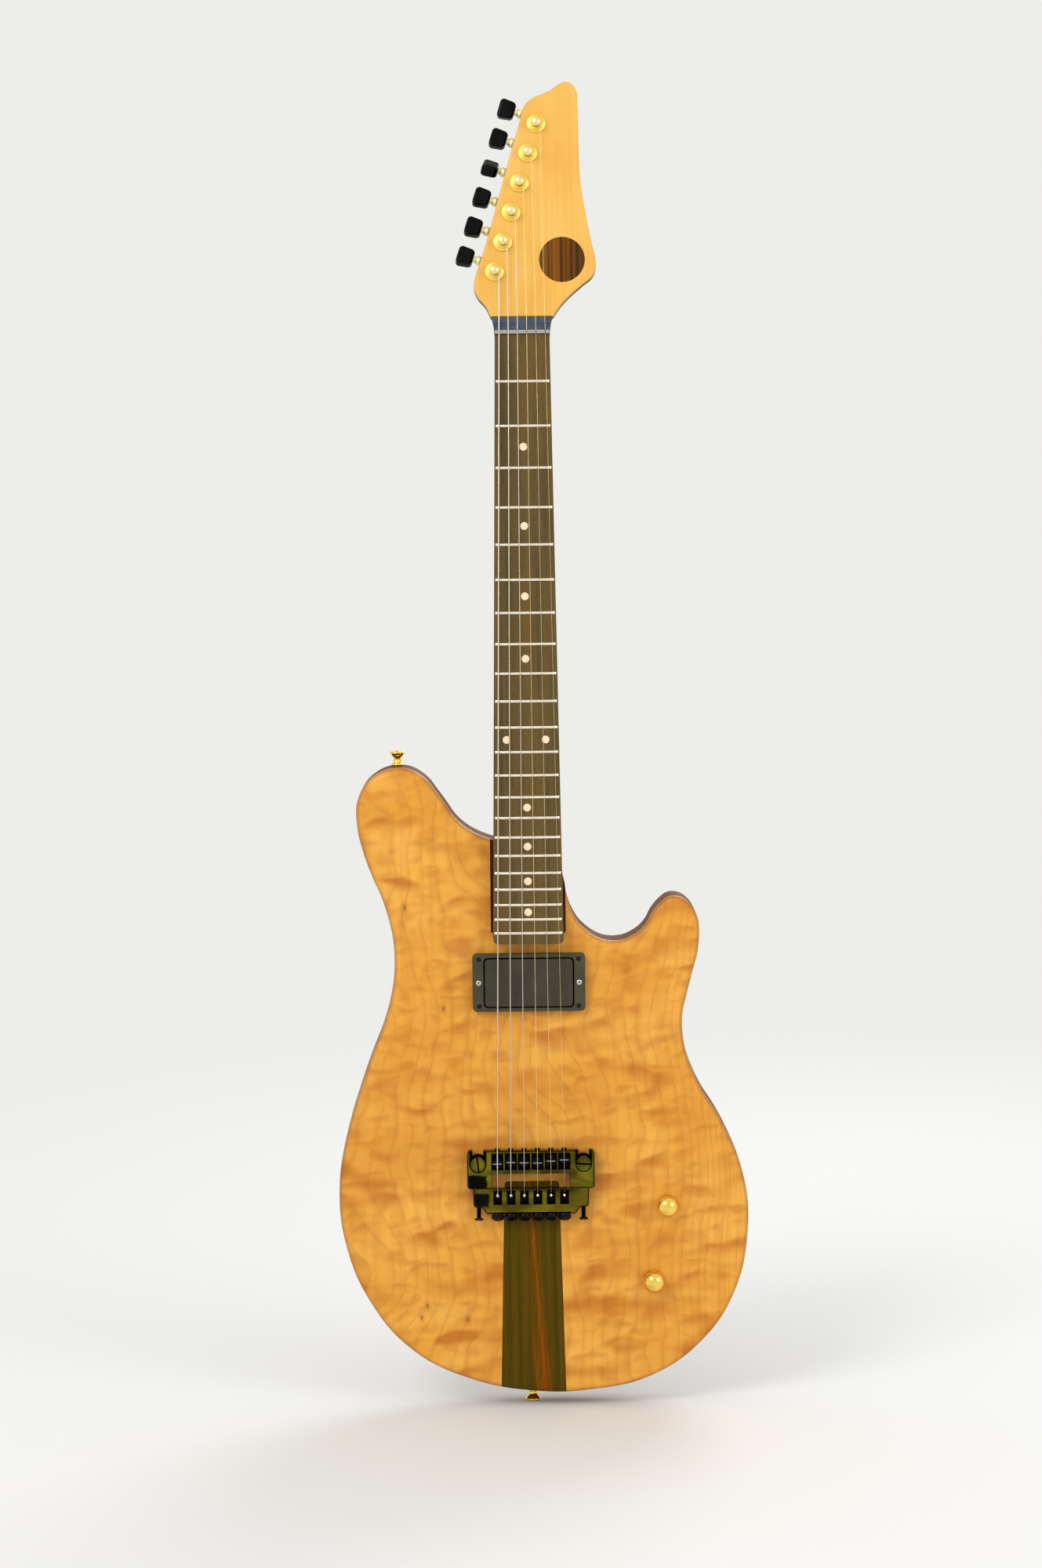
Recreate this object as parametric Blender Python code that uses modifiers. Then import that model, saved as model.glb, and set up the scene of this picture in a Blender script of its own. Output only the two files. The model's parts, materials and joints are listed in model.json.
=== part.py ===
"""Solid-body electric guitar: set neck, fine-tuning wrap-around bridge, one humbucker.

Metres, +Z up. The neck runs up +Z, the front faces -Y, the bass strings lie at -X.
The origin is on the flat back of the body, on the centre line.
"""
import math

import bmesh
import bpy
from mathutils import Matrix, Vector

# Clearances
GAP = 0.0003            # between pieces that rest on each other
GLUE = 0.0002           # between pieces that are glued
EXTRA = 0.004           # how far a cutter runs past the face that it opens

# Scale and strings, from the bass side to the treble side
NUT_Z = 0.560           # nut's front edge above the origin
SCALE_LENGTH = 0.6477
FRETS = 22
STRING_RADIUS = (0.00058, 0.00046, 0.00033, 0.00022, 0.00017, 0.00013)
NUT_SPREAD = 0.0356     # outer string to outer string at the nut
SADDLE_SPREAD = 0.0526  # and at the saddles
ACTION_NUT = 0.0014     # underside of a string above the board at the nut
ACTION_SADDLE = 0.0042  # and where the board's plane meets the saddles
COMPENSATION = (-0.0003, 0.0010, 0.0007, 0.0004, 0.0018, 0.0025)

# Body
BODY_THICKNESS = 0.044
TOP_THICKNESS = 0.006
TOP_ROUND = 0.0045
BACK_ROUND = 0.0055
STRIP_DEPTH = 0.003
STRIP_TOP_DROP = 0.0163  # from the scale's end to the top of the strip
STRIP_TOP_HALF = 0.0216
STRIP_END_HALF = 0.0259
STRIP_CENTRE_X = 0.0006
STRIP_CORNER = 0.003

# Neck and fingerboard
BOARD_RISE = 0.011      # top of the fingerboard above the body's front
BOARD_THICKNESS = 0.0065
BOARD_RADIUS = 0.400
CROWN_SEGMENTS = 256
BOARD_NUT_WIDTH = 0.0424
BOARD_TAPER = 0.0272    # width gained for each metre, in metres
BOARD_TAIL = 0.0087     # from the last fret to the end of the board
BOARD_CORNER = 0.004
FRET_WIDTH = 0.0022
FRET_HEIGHT = 0.0009
FRET_INSET = 0.0006
NECK_ROUNDNESS = 0.66   # depth of the back's curve over its half width
HEEL_HALF = 0.0292
HEEL_SETBACK = 0.0083   # from the foot of the heel to the end of the board
HEEL_PROUD = 0.0005
POCKET_DEPTH = 0.020
NUT_THICKNESS = 0.0027
NUT_RISE = 0.0021
NUT_FOOT_INSET = 0.0001
ROD_HALF = 0.003
ROD_DEPTH = 0.008
ROD_START = 0.012
ROD_STOP = 0.0083       # from the rod's end to the foot of the heel

# Headstock
HEAD_ANGLE = math.radians(8.0)
HEAD_START = 0.0135     # from the nut to the foot of the headstock's face
HEAD_DROP = 0.005       # face below the fingerboard's plane there
HEAD_THICKNESS = 0.014
HEAD_TONGUE = 0.012     # how far its core runs down into the neck
HEAD_TONGUE_HALF = 0.010
NECK_NOSE = 0.035       # how far the neck's round back runs up under the headstock
OVERLAY_THICKNESS = 0.003
RAMP_RADIUS = 0.014
RAMP_HALF = 0.0239
INLAY_RADIUS = 0.0177
INLAY_X = 0.0315
INLAY_UP = 0.0443
INLAY_DEPTH = 0.0012

# Tuners
FIRST_POST_X = 0.0125
FIRST_POST_UP = 0.1510
POST_PITCH = 0.0241
POST_LEAN = math.radians(16.1)
POST_RADIUS = 0.0030
WAIST_RADIUS = 0.0025
CAP_RADIUS = 0.0037
STRING_UP = 0.0049      # string's axis above the headstock's face, at the post
WAIST_HALF = 0.0013
POST_HEIGHT = 0.0105
POST_DEPTH = 0.0160
BARREL_RADIUS = 0.0047
WASHER_RADIUS = 0.0074
WASHER_THICKNESS = 0.0016
HOUSING_LOW = 0.0068    # housing's reach from the post's axis toward the nut
HOUSING_HIGH = 0.0137   # and toward the headstock's tip
HOUSING_BACK = 0.0068
HOUSING_FRONT = 0.0108
HOUSING_DEPTH = 0.0098
BOSS_RADIUS = 0.0043
BOSS_END = 0.0190       # from the row of posts to the end of the shaft's boss
SHAFT_OFFSET = 0.0087   # worm's axis beside the post's, toward the headstock's tip
SHAFT_RADIUS = 0.0020
SHAFT_START = -0.0045
BUTTON_LENGTH = 0.0130
BUTTON_WIDTH = 0.0164
BUTTON_THICKNESS = 0.0086
BUTTON_ROUND = 0.0024
BUTTON_TURNS = (22.0, 18.0, 20.0, 52.0, 14.0, 4.0)

# Bridge: heights above the body's front, and distances below the scale's end
STUD_INSET = 0.0086     # from the frame's ends, as the next insets are
STUD_DROP = 0.0009
STUD_NECK = 0.0040
STUD_HEAD = 0.0060
STUD_FLANGE = 0.0068
STUD_FLANGE_TOP = 0.0022
STUD_HEAD_BASE = 0.0088
STUD_HEAD_TOP = 0.0130
STUD_DEPTH = 0.018
STUD_SLOT = 0.0014
STUD_TURNS = {"bass": 83.0, "treble": 4.0}
FRAME_BASE = 0.0025
FRAME_TOP = 0.0125
FRAME_HALF = 0.0502
FRAME_UPPER_DROP = -0.0097
FRAME_MIDDLE_DROP = 0.0205
BLOCK_INSET = 0.0046
BLOCK_END_DROP = 0.0355
BLOCK_TOP = 0.0115
SHOULDER_INSET = 0.0117
BAR_INSET = 0.0154
BAR_END_DROP = 0.0413
FRAME_CORNER = 0.0025
FRAME_ROUND = 0.0012
BAY_UPPER_DROP = -0.0079
BAY_LOWER_DROP = 0.0055
BAY_FLOOR = 0.0050
CHANNEL_HALF = 0.0046
WINDOW_UPPER_DROP = 0.0088
WINDOW_LOWER_DROP = 0.0208
WALL_TOP = 0.0110
HOLDER_HALF = 0.0034
HOLDER_UPPER_DROP = 0.0218
HOLDER_LOWER_DROP = 0.0330
HOLDER_FLOOR = 0.0045
HOLDER_SLOT = 0.0012
SADDLE_HALF = 0.0040
SADDLE_LENGTH = 0.0080
SADDLE_TOP = 0.0107
RIDGE_HALF = 0.0012
SCREW_RADIUS = 0.0011
SCREW_HEAD = 0.0020
SCREW_UP = 0.0080
BALL_RADIUS = 0.0019
BALL_LENGTH = 0.0034
BALL_DROP = 0.0267
THUMB_DROP = 0.0435
THUMB_UP = 0.0090
THUMB_LEAN = math.radians(50.0)
THUMB_RADIUS = 0.0050
THUMB_THICKNESS = 0.0030
THUMB_SHAFT = 0.0015
THUMB_REACH = 0.0068
SET_SCREW_INSET = 0.0090
SET_SCREW_UP = 0.0070
SET_SCREW_END_DROP = 0.0459
SET_SCREW_RADIUS = 0.0017
SET_SCREW_HEAD = 0.0034
SET_SCREW_DISC = 0.0014

# Pickup and its ring
PICKUP_GAP = 0.0080     # between the end of the board and the ring
RING_LENGTH = 0.0884
RING_WIDTH = 0.0456
RING_HEIGHT = 0.0065
RING_CORNER = 0.0035
COVER_LENGTH = 0.0690
COVER_WIDTH = 0.0376
COVER_CORNER = 0.0030
COVER_CLEARANCE = 0.0011
PICKUP_TOP = 0.0095
PICKUP_DEPTH = 0.0220
PICKUP_TRAVEL = 0.0020
PICKUP_ROUND = 0.0012
CAVITY_DEPTH = 0.026
CAVITY_MARGIN = 0.0020
EAR_HALF_X = 0.0417
EAR_HALF_Z = 0.0070
EAR_THICKNESS = 0.0016
EAR_DROP = 0.0155       # from the pickup's top to its ears
EAR_SLOT_DEPTH = 0.0160
HEIGHT_SCREW_X = 0.0395
HEIGHT_SCREW_HEAD = 0.0024
HEIGHT_SCREW_RISE = 0.0012
HEIGHT_SCREW_SHANK = 0.0012
HEIGHT_SCREW_REACH = 0.0145     # below the body's front

# Controls
KNOBS = {"volume": (0.1075, -0.1243), "tone": (0.0963, -0.1844)}
KNOB_RADIUS = 0.0081
KNOB_TOP = 0.0150
KNOB_BASE = 0.0012
KNOB_RECESS = 0.0055
KNOB_RECESS_DEPTH = 0.0030
POT_SHAFT = 0.0030
POT_RADIUS = 0.0120
POT_CASE = 0.0090
BUSHING_RADIUS = 0.0042
BUSHING_RISE = 0.0025
CONTROL_X = (0.066, 0.132)
CONTROL_Z = (-0.202, -0.098)
CONTROL_CEILING = 0.0345
CONTROL_CORNER = 0.010
COVER_PLATE = 0.0020
COVER_PLATE_LIP = 0.006
BATTERY_SIZE = (0.0175, 0.0265, 0.0485)
BATTERY_X = 0.0685
BATTERY_Z = -0.155
JACK_Z = -0.148
JACK_Y = -0.020
JACK_FACE_X = 0.1706
JACK_FLANGE = 0.0086
JACK_FLANGE_THICKNESS = 0.0025
JACK_BARREL = 0.0058
JACK_BORE = 0.00325
JACK_LENGTH = 0.034
JACK_BORE_DEPTH = 0.031

# Strap buttons, each an axis point (x, y) and the z of the wood that it sits on
STRAP_RADIUS = 0.0062
STRAP_WAIST = 0.0032
STRAP_BASE = 0.0045
STRAP_HEIGHT = 0.0113
STRAP_SCREW = 0.0018
STRAP_SCREW_LENGTH = 0.020
STRAP_Y = -0.021
HORN_STRAP_X = -0.1018
HORN_STRAP_Z = 0.2239
TAIL_STRAP_X = 0.0
TAIL_STRAP_Z = -0.2736

# Body's edge, millimetres from the nut line: (x, z), clockwise seen from the back
BODY_EDGE_MM = (
    (0.0, -398.0), (-28.6, -393.0), (-51.9, -380.6), (-67.6, -360.1), (-82.0, -342.8),
    (-99.0, -336.2), (-120.0, -342.5), (-132.0, -359.0), (-133.8, -379.0), (-126.6, -410.0),
    (-111.5, -449.0), (-105.5, -486.0), (-111.0, -526.0), (-129.5, -577.0), (-146.0, -631.0),
    (-151.5, -673.0), (-146.8, -715.0), (-128.5, -760.0), (-96.0, -799.0), (-52.0, -822.3),
    (0.0, -833.3), (48.0, -832.6), (94.0, -822.0), (134.0, -794.5), (160.0, -756.0),
    (171.0, -708.0), (168.5, -664.0), (152.0, -621.0), (129.5, -581.0), (120.3, -541.0),
    (126.5, -508.0), (134.0, -475.0), (130.0, -449.5), (114.5, -439.2), (101.0, -447.3),
    (88.5, -465.5), (67.0, -474.3), (45.5, -465.6), (32.5, -446.5), (27.6, -424.0),
    (20.0, -406.5),
)
BODY_EDGE_NUT_MM = 560.0    # nut line above the origin in that list

# Headstock's edge, millimetres up its face and across, from the foot's left corner
HEAD_EDGE_MM = (
    (-27.8, 7.9), (-34.3, 16.0), (-37.1, 24.0), (-35.5, 32.5), (-30.7, 46.4), (-17.0, 94.2),
    (-4.7, 138.1), (0.8, 156.8), (2.8, 164.1), (7.8, 170.0), (22.1, 176.6), (30.1, 181.8),
    (36.5, 184.0), (43.2, 179.0), (44.9, 166.0), (45.2, 140.0), (46.6, 105.0), (50.0, 82.8),
    (54.9, 56.3), (57.7, 42.5), (55.6, 32.6), (48.0, 25.7), (38.7, 17.8), (30.1, 8.7),
)
HEAD_FOOT_MM = 24.1

FRONT_Y = -BODY_THICKNESS
SEAM_Y = FRONT_Y + TOP_THICKNESS
BOARD_Y = FRONT_Y - BOARD_RISE
NECK_Y = BOARD_Y + BOARD_THICKNESS
SADDLE_Z = NUT_Z - SCALE_LENGTH
BOARD_LENGTH = SCALE_LENGTH * (1 - 2 ** (-FRETS / 12)) + BOARD_TAIL
HEEL_END = BOARD_LENGTH - HEEL_SETBACK
ROD_END = HEEL_END - ROD_STOP
PICKUP_Z = NUT_Z - BOARD_LENGTH - PICKUP_GAP - RING_WIDTH / 2
STRIP_TOP_Z = SADDLE_Z - STRIP_TOP_DROP
STUD_X = FRAME_HALF - STUD_INSET
STUD_Z = SADDLE_Z - STUD_DROP
BLOCK_HALF = FRAME_HALF - BLOCK_INSET
SHOULDER_X = FRAME_HALF - SHOULDER_INSET
BAR_HALF = FRAME_HALF - BAR_INSET
SET_SCREW_X = FRAME_HALF - SET_SCREW_INSET
FRAME_UPPER_Z = SADDLE_Z - FRAME_UPPER_DROP
FRAME_MIDDLE_Z = SADDLE_Z - FRAME_MIDDLE_DROP
BLOCK_END_Z = SADDLE_Z - BLOCK_END_DROP
BAR_END_Z = SADDLE_Z - BAR_END_DROP
BAY_UPPER_Z = SADDLE_Z - BAY_UPPER_DROP
BAY_LOWER_Z = SADDLE_Z - BAY_LOWER_DROP
WINDOW_HALF = SADDLE_SPREAD / 2 + CHANNEL_HALF
WINDOW_UPPER_Z = SADDLE_Z - WINDOW_UPPER_DROP
WINDOW_LOWER_Z = SADDLE_Z - WINDOW_LOWER_DROP
HOLDER_UPPER_Z = SADDLE_Z - HOLDER_UPPER_DROP
HOLDER_LOWER_Z = SADDLE_Z - HOLDER_LOWER_DROP
BALL_Z = SADDLE_Z - BALL_DROP
THUMB_Z = SADDLE_Z - THUMB_DROP
SET_SCREW_END_Z = SADDLE_Z - SET_SCREW_END_DROP
MM = 0.001


def hex_colour(code):
    """Turn an sRGB hex colour into linear RGBA."""
    channels = [int(code[i:i + 2], 16) / 255 for i in (1, 3, 5)]
    linear = [c / 12.92 if c <= 0.04045 else ((c + 0.055) / 1.055) ** 2.4 for c in channels]
    return (*linear, 1.0)


def finish(name, code, roughness, metallic=0.0):
    """A Principled BSDF with one colour."""
    material = bpy.data.materials.new(name)
    material.use_nodes = True
    shader = material.node_tree.nodes["Principled BSDF"]
    shader.inputs["Base Color"].default_value = hex_colour(code)
    shader.inputs["Roughness"].default_value = roughness
    shader.inputs["Metallic"].default_value = metallic
    return material


def clear_scene():
    for thing in list(bpy.data.objects):
        bpy.data.objects.remove(thing)


def add_object(name, bm):
    """Close a bmesh into an object in the cutters' collection."""
    mesh = bpy.data.meshes.new(name)
    bmesh.ops.recalc_face_normals(bm, faces=bm.faces)
    bm.to_mesh(mesh)
    bm.free()
    thing = bpy.data.objects.new(name, mesh)
    return hide(thing)


def hide(thing):
    """Make an object a helper: a cutter or a shape that is joined to a part."""
    thing.hide_render = True
    thing.display_type = "WIRE"
    bpy.data.collections["guitar_cutters"].objects.link(thing)
    return thing


def show(thing, material, parent=None):
    """Make an object one of the guitar's parts."""
    bpy.data.collections["guitar_cutters"].objects.unlink(thing)
    bpy.data.collections["guitar"].objects.link(thing)
    thing.hide_render = False
    thing.display_type = "TEXTURED"
    thing.data.materials.clear()
    thing.data.materials.append(material)
    if parent is not None:
        thing.parent = parent
    thing.data.shade_smooth()
    thing.data.set_sharp_from_angle(angle=math.radians(35))
    return thing


def combine(target, other, operation):
    step = target.modifiers.new(f"{operation.lower()}_{other.name}"[:60], "BOOLEAN")
    step.operation = operation
    step.object = other
    return target


def cut(target, *cutters):
    for cutter in cutters:
        combine(target, cutter, "DIFFERENCE")
    return target


def fuse(target, *pieces):
    for piece in pieces:
        combine(target, piece, "UNION")
    return target


def keep(target, other):
    return combine(target, other, "INTERSECT")


def box(name, low, high, parent=None):
    low, high = Vector(low), Vector(high)
    bm = bmesh.new()
    size = Matrix.Diagonal((*(high - low), 1.0))
    bmesh.ops.create_cube(bm, size=1.0, matrix=Matrix.Translation((low + high) / 2) @ size)
    thing = add_object(name, bm)
    thing.parent = parent
    return thing


def along(start, end):
    """The matrix that stands a +Z shape between two points."""
    start, end = Vector(start), Vector(end)
    turn = (end - start).to_track_quat("Z", "Y").to_matrix().to_4x4()
    return Matrix.Translation((start + end) / 2) @ turn


def rods(name, spans, segments=20, parent=None):
    """Cylinders, each (start, end, radius) or (start, end, radius, end radius), in one object."""
    bm = bmesh.new()
    for start, end, radius, *end_radius in spans:
        bmesh.ops.create_cone(
            bm, cap_ends=True, segments=segments, radius1=radius,
            radius2=end_radius[0] if end_radius else radius,
            depth=(Vector(end) - Vector(start)).length, matrix=along(start, end))
    thing = add_object(name, bm)
    thing.parent = parent
    return thing


def turned(name, profile, base, axis, segments=20, parent=None):
    """A turned shape: profile is (radius, height) from the top down, height runs along axis."""
    mesh = bpy.data.meshes.new(name)
    points = [(radius, 0.0, height) for radius, height in profile]
    mesh.from_pydata(points, [(i, i + 1) for i in range(len(points) - 1)], [])
    thing = hide(bpy.data.objects.new(name, mesh))
    thing.location = base
    thing.rotation_mode = "QUATERNION"
    thing.rotation_quaternion = Vector(axis).to_track_quat("Z", "Y")
    thing.parent = parent
    screw = thing.modifiers.new("turn", "SCREW")
    screw.steps = segments
    screw.render_steps = segments
    screw.use_merge_vertices = True
    screw.merge_threshold = 0.00001
    return thing


def baked(curve_object):
    """Replace a curve object by its mesh, with the caps welded."""
    view = bpy.context.view_layer
    view.update()
    source = curve_object.evaluated_get(bpy.context.evaluated_depsgraph_get())
    mesh = bpy.data.meshes.new_from_object(source)
    bm = bmesh.new()
    bm.from_mesh(mesh)
    bmesh.ops.remove_doubles(bm, verts=bm.verts, dist=0.00001)
    bmesh.ops.recalc_face_normals(bm, faces=bm.faces)
    bm.to_mesh(mesh)
    bm.free()
    name = curve_object.name
    matrix = curve_object.matrix_world.copy()
    parent = curve_object.parent
    bpy.data.objects.remove(curve_object)
    thing = hide(bpy.data.objects.new(name, mesh))
    thing.parent = parent
    thing.matrix_world = matrix
    view.update()
    return thing


def outline(name, points, y_front, y_back, smooth, corners=(), resolution=3):
    """A flat outline in the XZ plane, given in metres, between two depths."""
    data = bpy.data.curves.new(name, "CURVE")
    data.dimensions = "2D"
    data.fill_mode = "BOTH"
    data.extrude = (y_back - y_front) / 2
    data.resolution_u = resolution
    spline = data.splines.new("BEZIER" if smooth else "POLY")
    if smooth:
        spline.bezier_points.add(len(points) - 1)
        for index, (knot, point) in enumerate(zip(spline.bezier_points, points)):
            knot.co = (*point, 0.0)
            kind = "VECTOR" if index in corners else "AUTO"
            knot.handle_left_type = kind
            knot.handle_right_type = kind
    else:
        spline.points.add(len(points) - 1)
        for knot, point in zip(spline.points, points):
            knot.co = (*point, 0.0, 1.0)
    spline.use_cyclic_u = True
    thing = bpy.data.objects.new(name, data)
    bpy.data.collections["guitar_cutters"].objects.link(thing)
    thing.location = (0.0, (y_front + y_back) / 2, 0.0)
    thing.rotation_euler = (math.pi / 2, 0.0, 0.0)
    thing = apply_placement(baked(thing))
    bm = bmesh.new()
    bm.from_mesh(thing.data)
    for depth in (y_front, y_back):
        flat = [face for face in bm.faces
                if all(abs(vertex.co.y - depth) < 0.000001 for vertex in face.verts)]
        bmesh.ops.dissolve_faces(bm, faces=flat)
    bm.to_mesh(thing.data)
    bm.free()
    return thing


def apply_placement(thing):
    """Move an object's placement into its mesh, so that its axes are the guitar's."""
    thing.data.transform(thing.matrix_world)
    thing.matrix_world = Matrix()
    return thing


def set_origin(thing, point):
    """Give a sliding piece its origin on the line that it slides along."""
    thing.data.transform(Matrix.Translation(-Vector(point)))
    thing.location = point
    return thing


def rounded(corners, steps=4):
    """A polygon whose corners (x, z, radius) are rounded by arcs."""
    points = []
    for index, (x, z, radius) in enumerate(corners):
        corner = Vector((x, z))
        if radius == 0.0:
            points.append(tuple(corner))
            continue
        before = Vector(corners[index - 1][:2])
        after = Vector(corners[(index + 1) % len(corners)][:2])
        to_before = (before - corner).normalized()
        to_after = (after - corner).normalized()
        half = to_before.angle(to_after) / 2
        centre = corner + (to_before + to_after).normalized() * (radius / math.sin(half))
        start = corner + to_before * (radius / math.tan(half)) - centre
        end = corner + to_after * (radius / math.tan(half)) - centre
        sweep = start.angle_signed(end)
        for step in range(steps + 1):
            angle = -sweep * step / steps
            turn = Matrix.Rotation(angle, 2)
            points.append(tuple(centre + turn @ start))
    return points


def plate(name, centre, size, y_front, y_back, corner, steps=4):
    """A rounded rectangle centred on (x, z)."""
    x, z = centre
    half_x, half_z = size[0] / 2, size[1] / 2
    corners = [
        (x - half_x, z - half_z, corner), (x + half_x, z - half_z, corner),
        (x + half_x, z + half_z, corner), (x - half_x, z + half_z, corner)]
    return outline(name, rounded(corners, steps), y_front, y_back, smooth=False)


def round_rim(thing, y_face, width, segments):
    """Round the edge between the flat face at one depth and the sides."""
    bm = bmesh.new()
    bm.from_mesh(thing.data)
    rim = [edge for edge in bm.edges
           if all(abs(vertex.co.y - y_face) < 0.00001 for vertex in edge.verts)
           and any(abs(face.normal.y) < 0.5 for face in edge.link_faces)]
    bmesh.ops.bevel(bm, geom=rim, offset=width, segments=segments, profile=0.5, affect="EDGES")
    bm.to_mesh(thing.data)
    bm.free()
    return thing


def round_all(thing, width, segments):
    """Round every edge of a simple solid."""
    bm = bmesh.new()
    bm.from_mesh(thing.data)
    bmesh.ops.bevel(
        bm, geom=list(bm.edges), offset=width, segments=segments, profile=0.5, affect="EDGES")
    bm.to_mesh(thing.data)
    bm.free()
    return thing


def front(height):
    """The depth of a point at a height above the body's front."""
    return FRONT_Y - height


def board_width(distance):
    """Width of the fingerboard at a distance from the nut."""
    return BOARD_NUT_WIDTH + BOARD_TAPER * distance


def string_x(index, share):
    """Place of a string across the neck, from the nut (0) to the saddles (1)."""
    spread = NUT_SPREAD + (SADDLE_SPREAD - NUT_SPREAD) * share
    return -spread / 2 + spread * index / 5


def string_y(index, share):
    """Depth of a string's axis, from the nut (0) to the saddles (1)."""
    x = string_x(index, share)
    rise = ACTION_NUT + (ACTION_SADDLE - ACTION_NUT) * share
    return BOARD_Y - rise - STRING_RADIUS[index] + x * x / (2 * BOARD_RADIUS)


def post_place(index):
    """A tuner's post on the headstock's face: (x, up); index 0 is the bass string's."""
    back = POST_PITCH * (5 - index)
    return (FIRST_POST_X - back * math.sin(POST_LEAN),
            FIRST_POST_UP - back * math.cos(POST_LEAN))


def body_edge():
    shift = BODY_EDGE_NUT_MM
    return [(x * MM, (z + shift) * MM) for x, z in BODY_EDGE_MM]


def cutter_for_strip(name, inset):
    """The strip's outline, drawn in by a clearance."""
    end_z = TAIL_STRAP_Z - EXTRA
    half_top = STRIP_TOP_HALF - inset
    half_end = STRIP_END_HALF - inset
    top_z = STRIP_TOP_Z - inset
    corners = [
        (STRIP_CENTRE_X - half_end, end_z, 0.0), (STRIP_CENTRE_X + half_end, end_z, 0.0),
        (STRIP_CENTRE_X + half_top, top_z, STRIP_CORNER),
        (STRIP_CENTRE_X - half_top, top_z, STRIP_CORNER)]
    return outline(
        name, rounded(corners), FRONT_Y - EXTRA, FRONT_Y + STRIP_DEPTH - inset, smooth=False)


def make_body(wood):
    """Core, top and the dark strip that is let into the top."""
    core = outline("body_core", body_edge(), SEAM_Y + GLUE, 0.0, smooth=True)
    round_rim(core, 0.0, BACK_ROUND, 2)
    top = outline("body_top", body_edge(), FRONT_Y, SEAM_Y, smooth=True)
    round_rim(top, FRONT_Y, TOP_ROUND, 3)
    strip = outline("centre_strip", body_edge(), FRONT_Y, SEAM_Y, smooth=True)
    round_rim(strip, FRONT_Y, TOP_ROUND, 3)

    heel_z = NUT_Z - HEEL_END
    pocket = box(
        "neck_pocket", (-HEEL_HALF - GLUE, FRONT_Y - EXTRA, heel_z - GLUE),
        (HEEL_HALF + GLUE, FRONT_Y + POCKET_DEPTH, NUT_Z))
    cavity = plate(
        "pickup_cavity", (0.0, PICKUP_Z),
        (COVER_LENGTH + 2 * CAVITY_MARGIN, COVER_WIDTH + 2 * CAVITY_MARGIN),
        FRONT_Y - EXTRA, FRONT_Y + CAVITY_DEPTH, COVER_CORNER)
    ear_slot = plate(
        "pickup_ear_slot", (0.0, PICKUP_Z), (2 * (EAR_HALF_X + 2 * GAP), 2 * (EAR_HALF_Z + 2 * GAP)),
        FRONT_Y - EXTRA, FRONT_Y + EAR_SLOT_DEPTH, COVER_CORNER)
    studs = rods("stud_holes", [
        ((side * STUD_X, FRONT_Y - EXTRA, STUD_Z),
         (side * STUD_X, FRONT_Y + STUD_DEPTH + GAP, STUD_Z), STUD_NECK + GAP)
        for side in (-1, 1)])
    bushings = rods("bushing_holes", [
        ((x, FRONT_Y - EXTRA, z), (x, -CONTROL_CEILING + EXTRA, z), BUSHING_RADIUS + GAP)
        for x, z in KNOBS.values()])
    cut(top, pocket, cavity, ear_slot, studs, bushings, cutter_for_strip("strip_recess", 0.0))
    keep(strip, cutter_for_strip("strip_shape", GLUE))

    centre = ((CONTROL_X[0] + CONTROL_X[1]) / 2, (CONTROL_Z[0] + CONTROL_Z[1]) / 2)
    size = (CONTROL_X[1] - CONTROL_X[0], CONTROL_Z[1] - CONTROL_Z[0])
    lip = 2 * (COVER_PLATE_LIP + GAP)
    control = plate("control_cavity", centre, size, -CONTROL_CEILING, EXTRA, CONTROL_CORNER)
    recess = plate(
        "cover_recess", centre, (size[0] + lip, size[1] + lip), -COVER_PLATE - GAP, EXTRA,
        CONTROL_CORNER)
    jack = rods("jack_hole", [
        ((CONTROL_X[1] - EXTRA, JACK_Y, JACK_Z), (JACK_FACE_X + EXTRA, JACK_Y, JACK_Z),
         JACK_BARREL + GAP)])
    jack_seat = rods("jack_seat", [
        ((JACK_FACE_X - JACK_FLANGE_THICKNESS - GAP, JACK_Y, JACK_Z),
         (JACK_FACE_X + EXTRA, JACK_Y, JACK_Z), JACK_FLANGE + GAP)])
    strap_screws = rods("strap_screw_holes", [
        ((HORN_STRAP_X, STRAP_Y, HORN_STRAP_Z - STRAP_SCREW_LENGTH - GAP),
         (HORN_STRAP_X, STRAP_Y, HORN_STRAP_Z + EXTRA), STRAP_SCREW + GAP),
        ((TAIL_STRAP_X, STRAP_Y, TAIL_STRAP_Z + STRAP_SCREW_LENGTH + GAP),
         (TAIL_STRAP_X, STRAP_Y, TAIL_STRAP_Z - EXTRA), STRAP_SCREW + GAP)], segments=12)
    cut(core, pocket, cavity, ear_slot, studs, bushings, control, recess, jack, jack_seat, strap_screws)
    show(core, wood["mahogany"])
    show(top, wood["maple"])
    show(strip, wood["rosewood"])

    cover = plate(
        "control_cover", centre, (size[0] + 2 * COVER_PLATE_LIP, size[1] + 2 * COVER_PLATE_LIP),
        -COVER_PLATE, 0.0, CONTROL_CORNER)
    show(cover, wood["black_plastic"])


def head_frame():
    """The empty that the headstock's pieces hang on: +Z up the face, -Y out of it."""
    frame = bpy.data.objects.new("headstock_frame", None)
    bpy.data.collections["guitar_cutters"].objects.link(frame)
    frame.location = (0.0, BOARD_Y + HEAD_DROP, NUT_Z + HEAD_START)
    frame.rotation_euler = (-HEAD_ANGLE, 0.0, 0.0)
    return frame


def head_outline(name, y_front, y_back, foot):
    """The headstock's outline; foot is how far it runs on below the face's foot."""
    half = HEAD_FOOT_MM * MM
    points = [(x * MM, z * MM) for x, z in HEAD_EDGE_MM]
    points += [(half, 0.0)]
    if foot > 0.0:
        points += [(HEAD_TONGUE_HALF, -foot), (-HEAD_TONGUE_HALF, -foot)]
    points += [(-half, 0.0)]
    corners = range(len(HEAD_EDGE_MM), len(points))
    return outline(name, points, y_front, y_back, smooth=True, corners=corners)


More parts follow.
